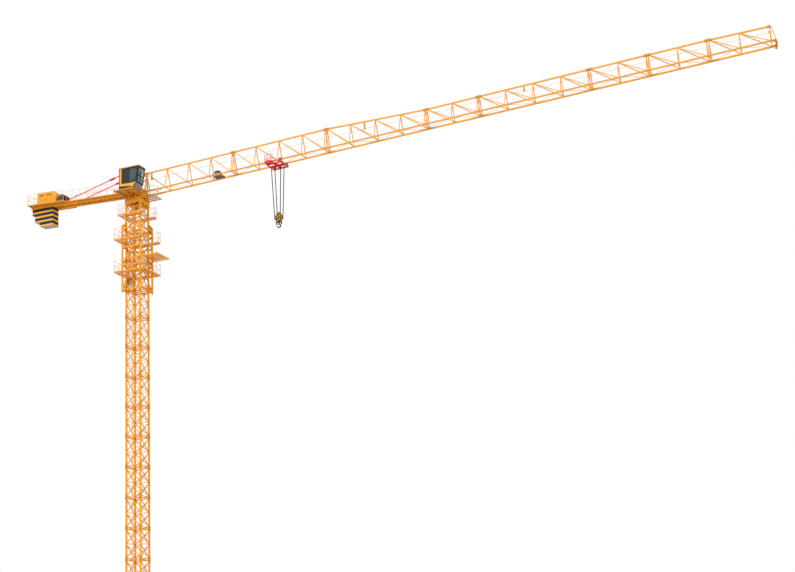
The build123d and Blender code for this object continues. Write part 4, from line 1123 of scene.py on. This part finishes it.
@drawn("hook_block", hook_paint)
def hook_crosshead(bm):
    """Forged crosshead under the block: a collar round the hook's shank and a flared drop at each end."""
    top = BLOCK_Z - 0.189
    sleeve(bm, block_x, top - 0.093, top, 0.046, 0.026)
    for side in SIDES:
        root, lug, drop, end = (block_x + side * x for x in (0.047, 0.08, 0.125, 0.165))
        tube(bm, (root, 0, top - 0.034), (end, 0, top - 0.034), 0.033, 16)
        tube(bm, (drop, 0, top - 0.03), (drop, 0, top - 0.09), 0.022, 16)
        tube(bm, (drop, 0, top - 0.08), (drop, 0, top - 0.145), 0.024, 16, 0.046)
        slab(bm, (lug - 0.03, -0.03, top - 0.012), (lug + 0.03, 0.03, top))


@drawn("hook", steel)
def hook_safety_latch(bm):
    bowl = BLOCK_Z - 0.188 - 0.21 - 0.02
    lath(bm, (block_x - 0.022, 0, bowl + 0.075), (block_x - 0.085, 0, bowl - 0.01), 0.03, 0.01)
    cross_pin(bm, (block_x - 0.02, 0, bowl + 0.08), 0.028, 0.01, 10)


# Floor, light and background
FLOOR_REACH, FLOOR_Z = 300, -0.002
floor_mesh = bpy.data.meshes.new("floor")
floor_mesh.from_pydata([(x * FLOOR_REACH, y * FLOOR_REACH, FLOOR_Z)
                        for x, y in ((-1, -1), (1, -1), (1, 1), (-1, 1))], [], [(0, 1, 2, 3)])
floor = added("floor", floor_mesh)
floor_finish, floor_tree, floor_shader = fresh("pale_floor")
grain = ramp(floor_tree, noise(floor_tree, place(floor_tree), 0.4), 0.3, 0.7)
pale = mix(floor_tree, grain, (0.80, 0.80, 0.80), (0.84, 0.84, 0.835))
dress(floor_tree, floor_shader, {"Base Color": pale, "Roughness": 0.9})
floor_mesh.materials.append(floor_finish)

world = bpy.data.worlds.new("studio")
scene.world = world
world.use_nodes = True
sky = world.node_tree
sky.nodes.clear()
path = put(sky, "ShaderNodeLightPath").outputs
seen = reckon(sky, "MAXIMUM", path["Is Camera Ray"], path["Is Glossy Ray"])
seen = reckon(sky, "MAXIMUM", seen, path["Is Transmission Ray"])
soft, white = (put(sky, "ShaderNodeBackground", {"Color": (1, 1, 1, 1), "Strength": strength}).outputs[0]
               for strength in (0.62, 1.0))
either = put(sky, "ShaderNodeMixShader", {0: seen, 1: soft, 2: white})
put(sky, "ShaderNodeOutputWorld", {0: either.outputs[0]})


def lamp(name, strength, direction, spread):
    light = bpy.data.lights.new(name, "SUN")
    light.energy, light.angle = strength, math.radians(spread)
    thing = added(name, light)
    thing.location = (0, 0, 40)
    thing.rotation_euler = Vector(direction).to_track_quat("-Z", "Y").to_euler()


lamp("key_light", 1.9, (0.35, 0.75, -0.6), 20)
lamp("fill_light", 0.6, (-0.8, 0.35, -0.2), 40)

# Camera at the photograph's place
camera_place = (34.0, -54.55, 1.0)
yaw, pitch, roll = math.radians(25.77), math.radians(10.57), math.radians(-1.24)
lens = bpy.data.cameras.new("camera")
lens.sensor_width, lens.lens = 36.0, 60.0
lens.shift_x, lens.shift_y = 0.150, 0.170
lens.clip_end = 500
camera = added("camera", lens)
camera_turn = Matrix.Rotation(yaw, 4, "Z") @ Matrix.Rotation(math.pi / 2 + pitch, 4, "X")
camera.matrix_world = Matrix.Translation(camera_place) @ camera_turn @ Matrix.Rotation(roll, 4, "Z")
bpy.context.scene.camera = camera
bpy.context.scene.view_settings.view_transform = "Standard"
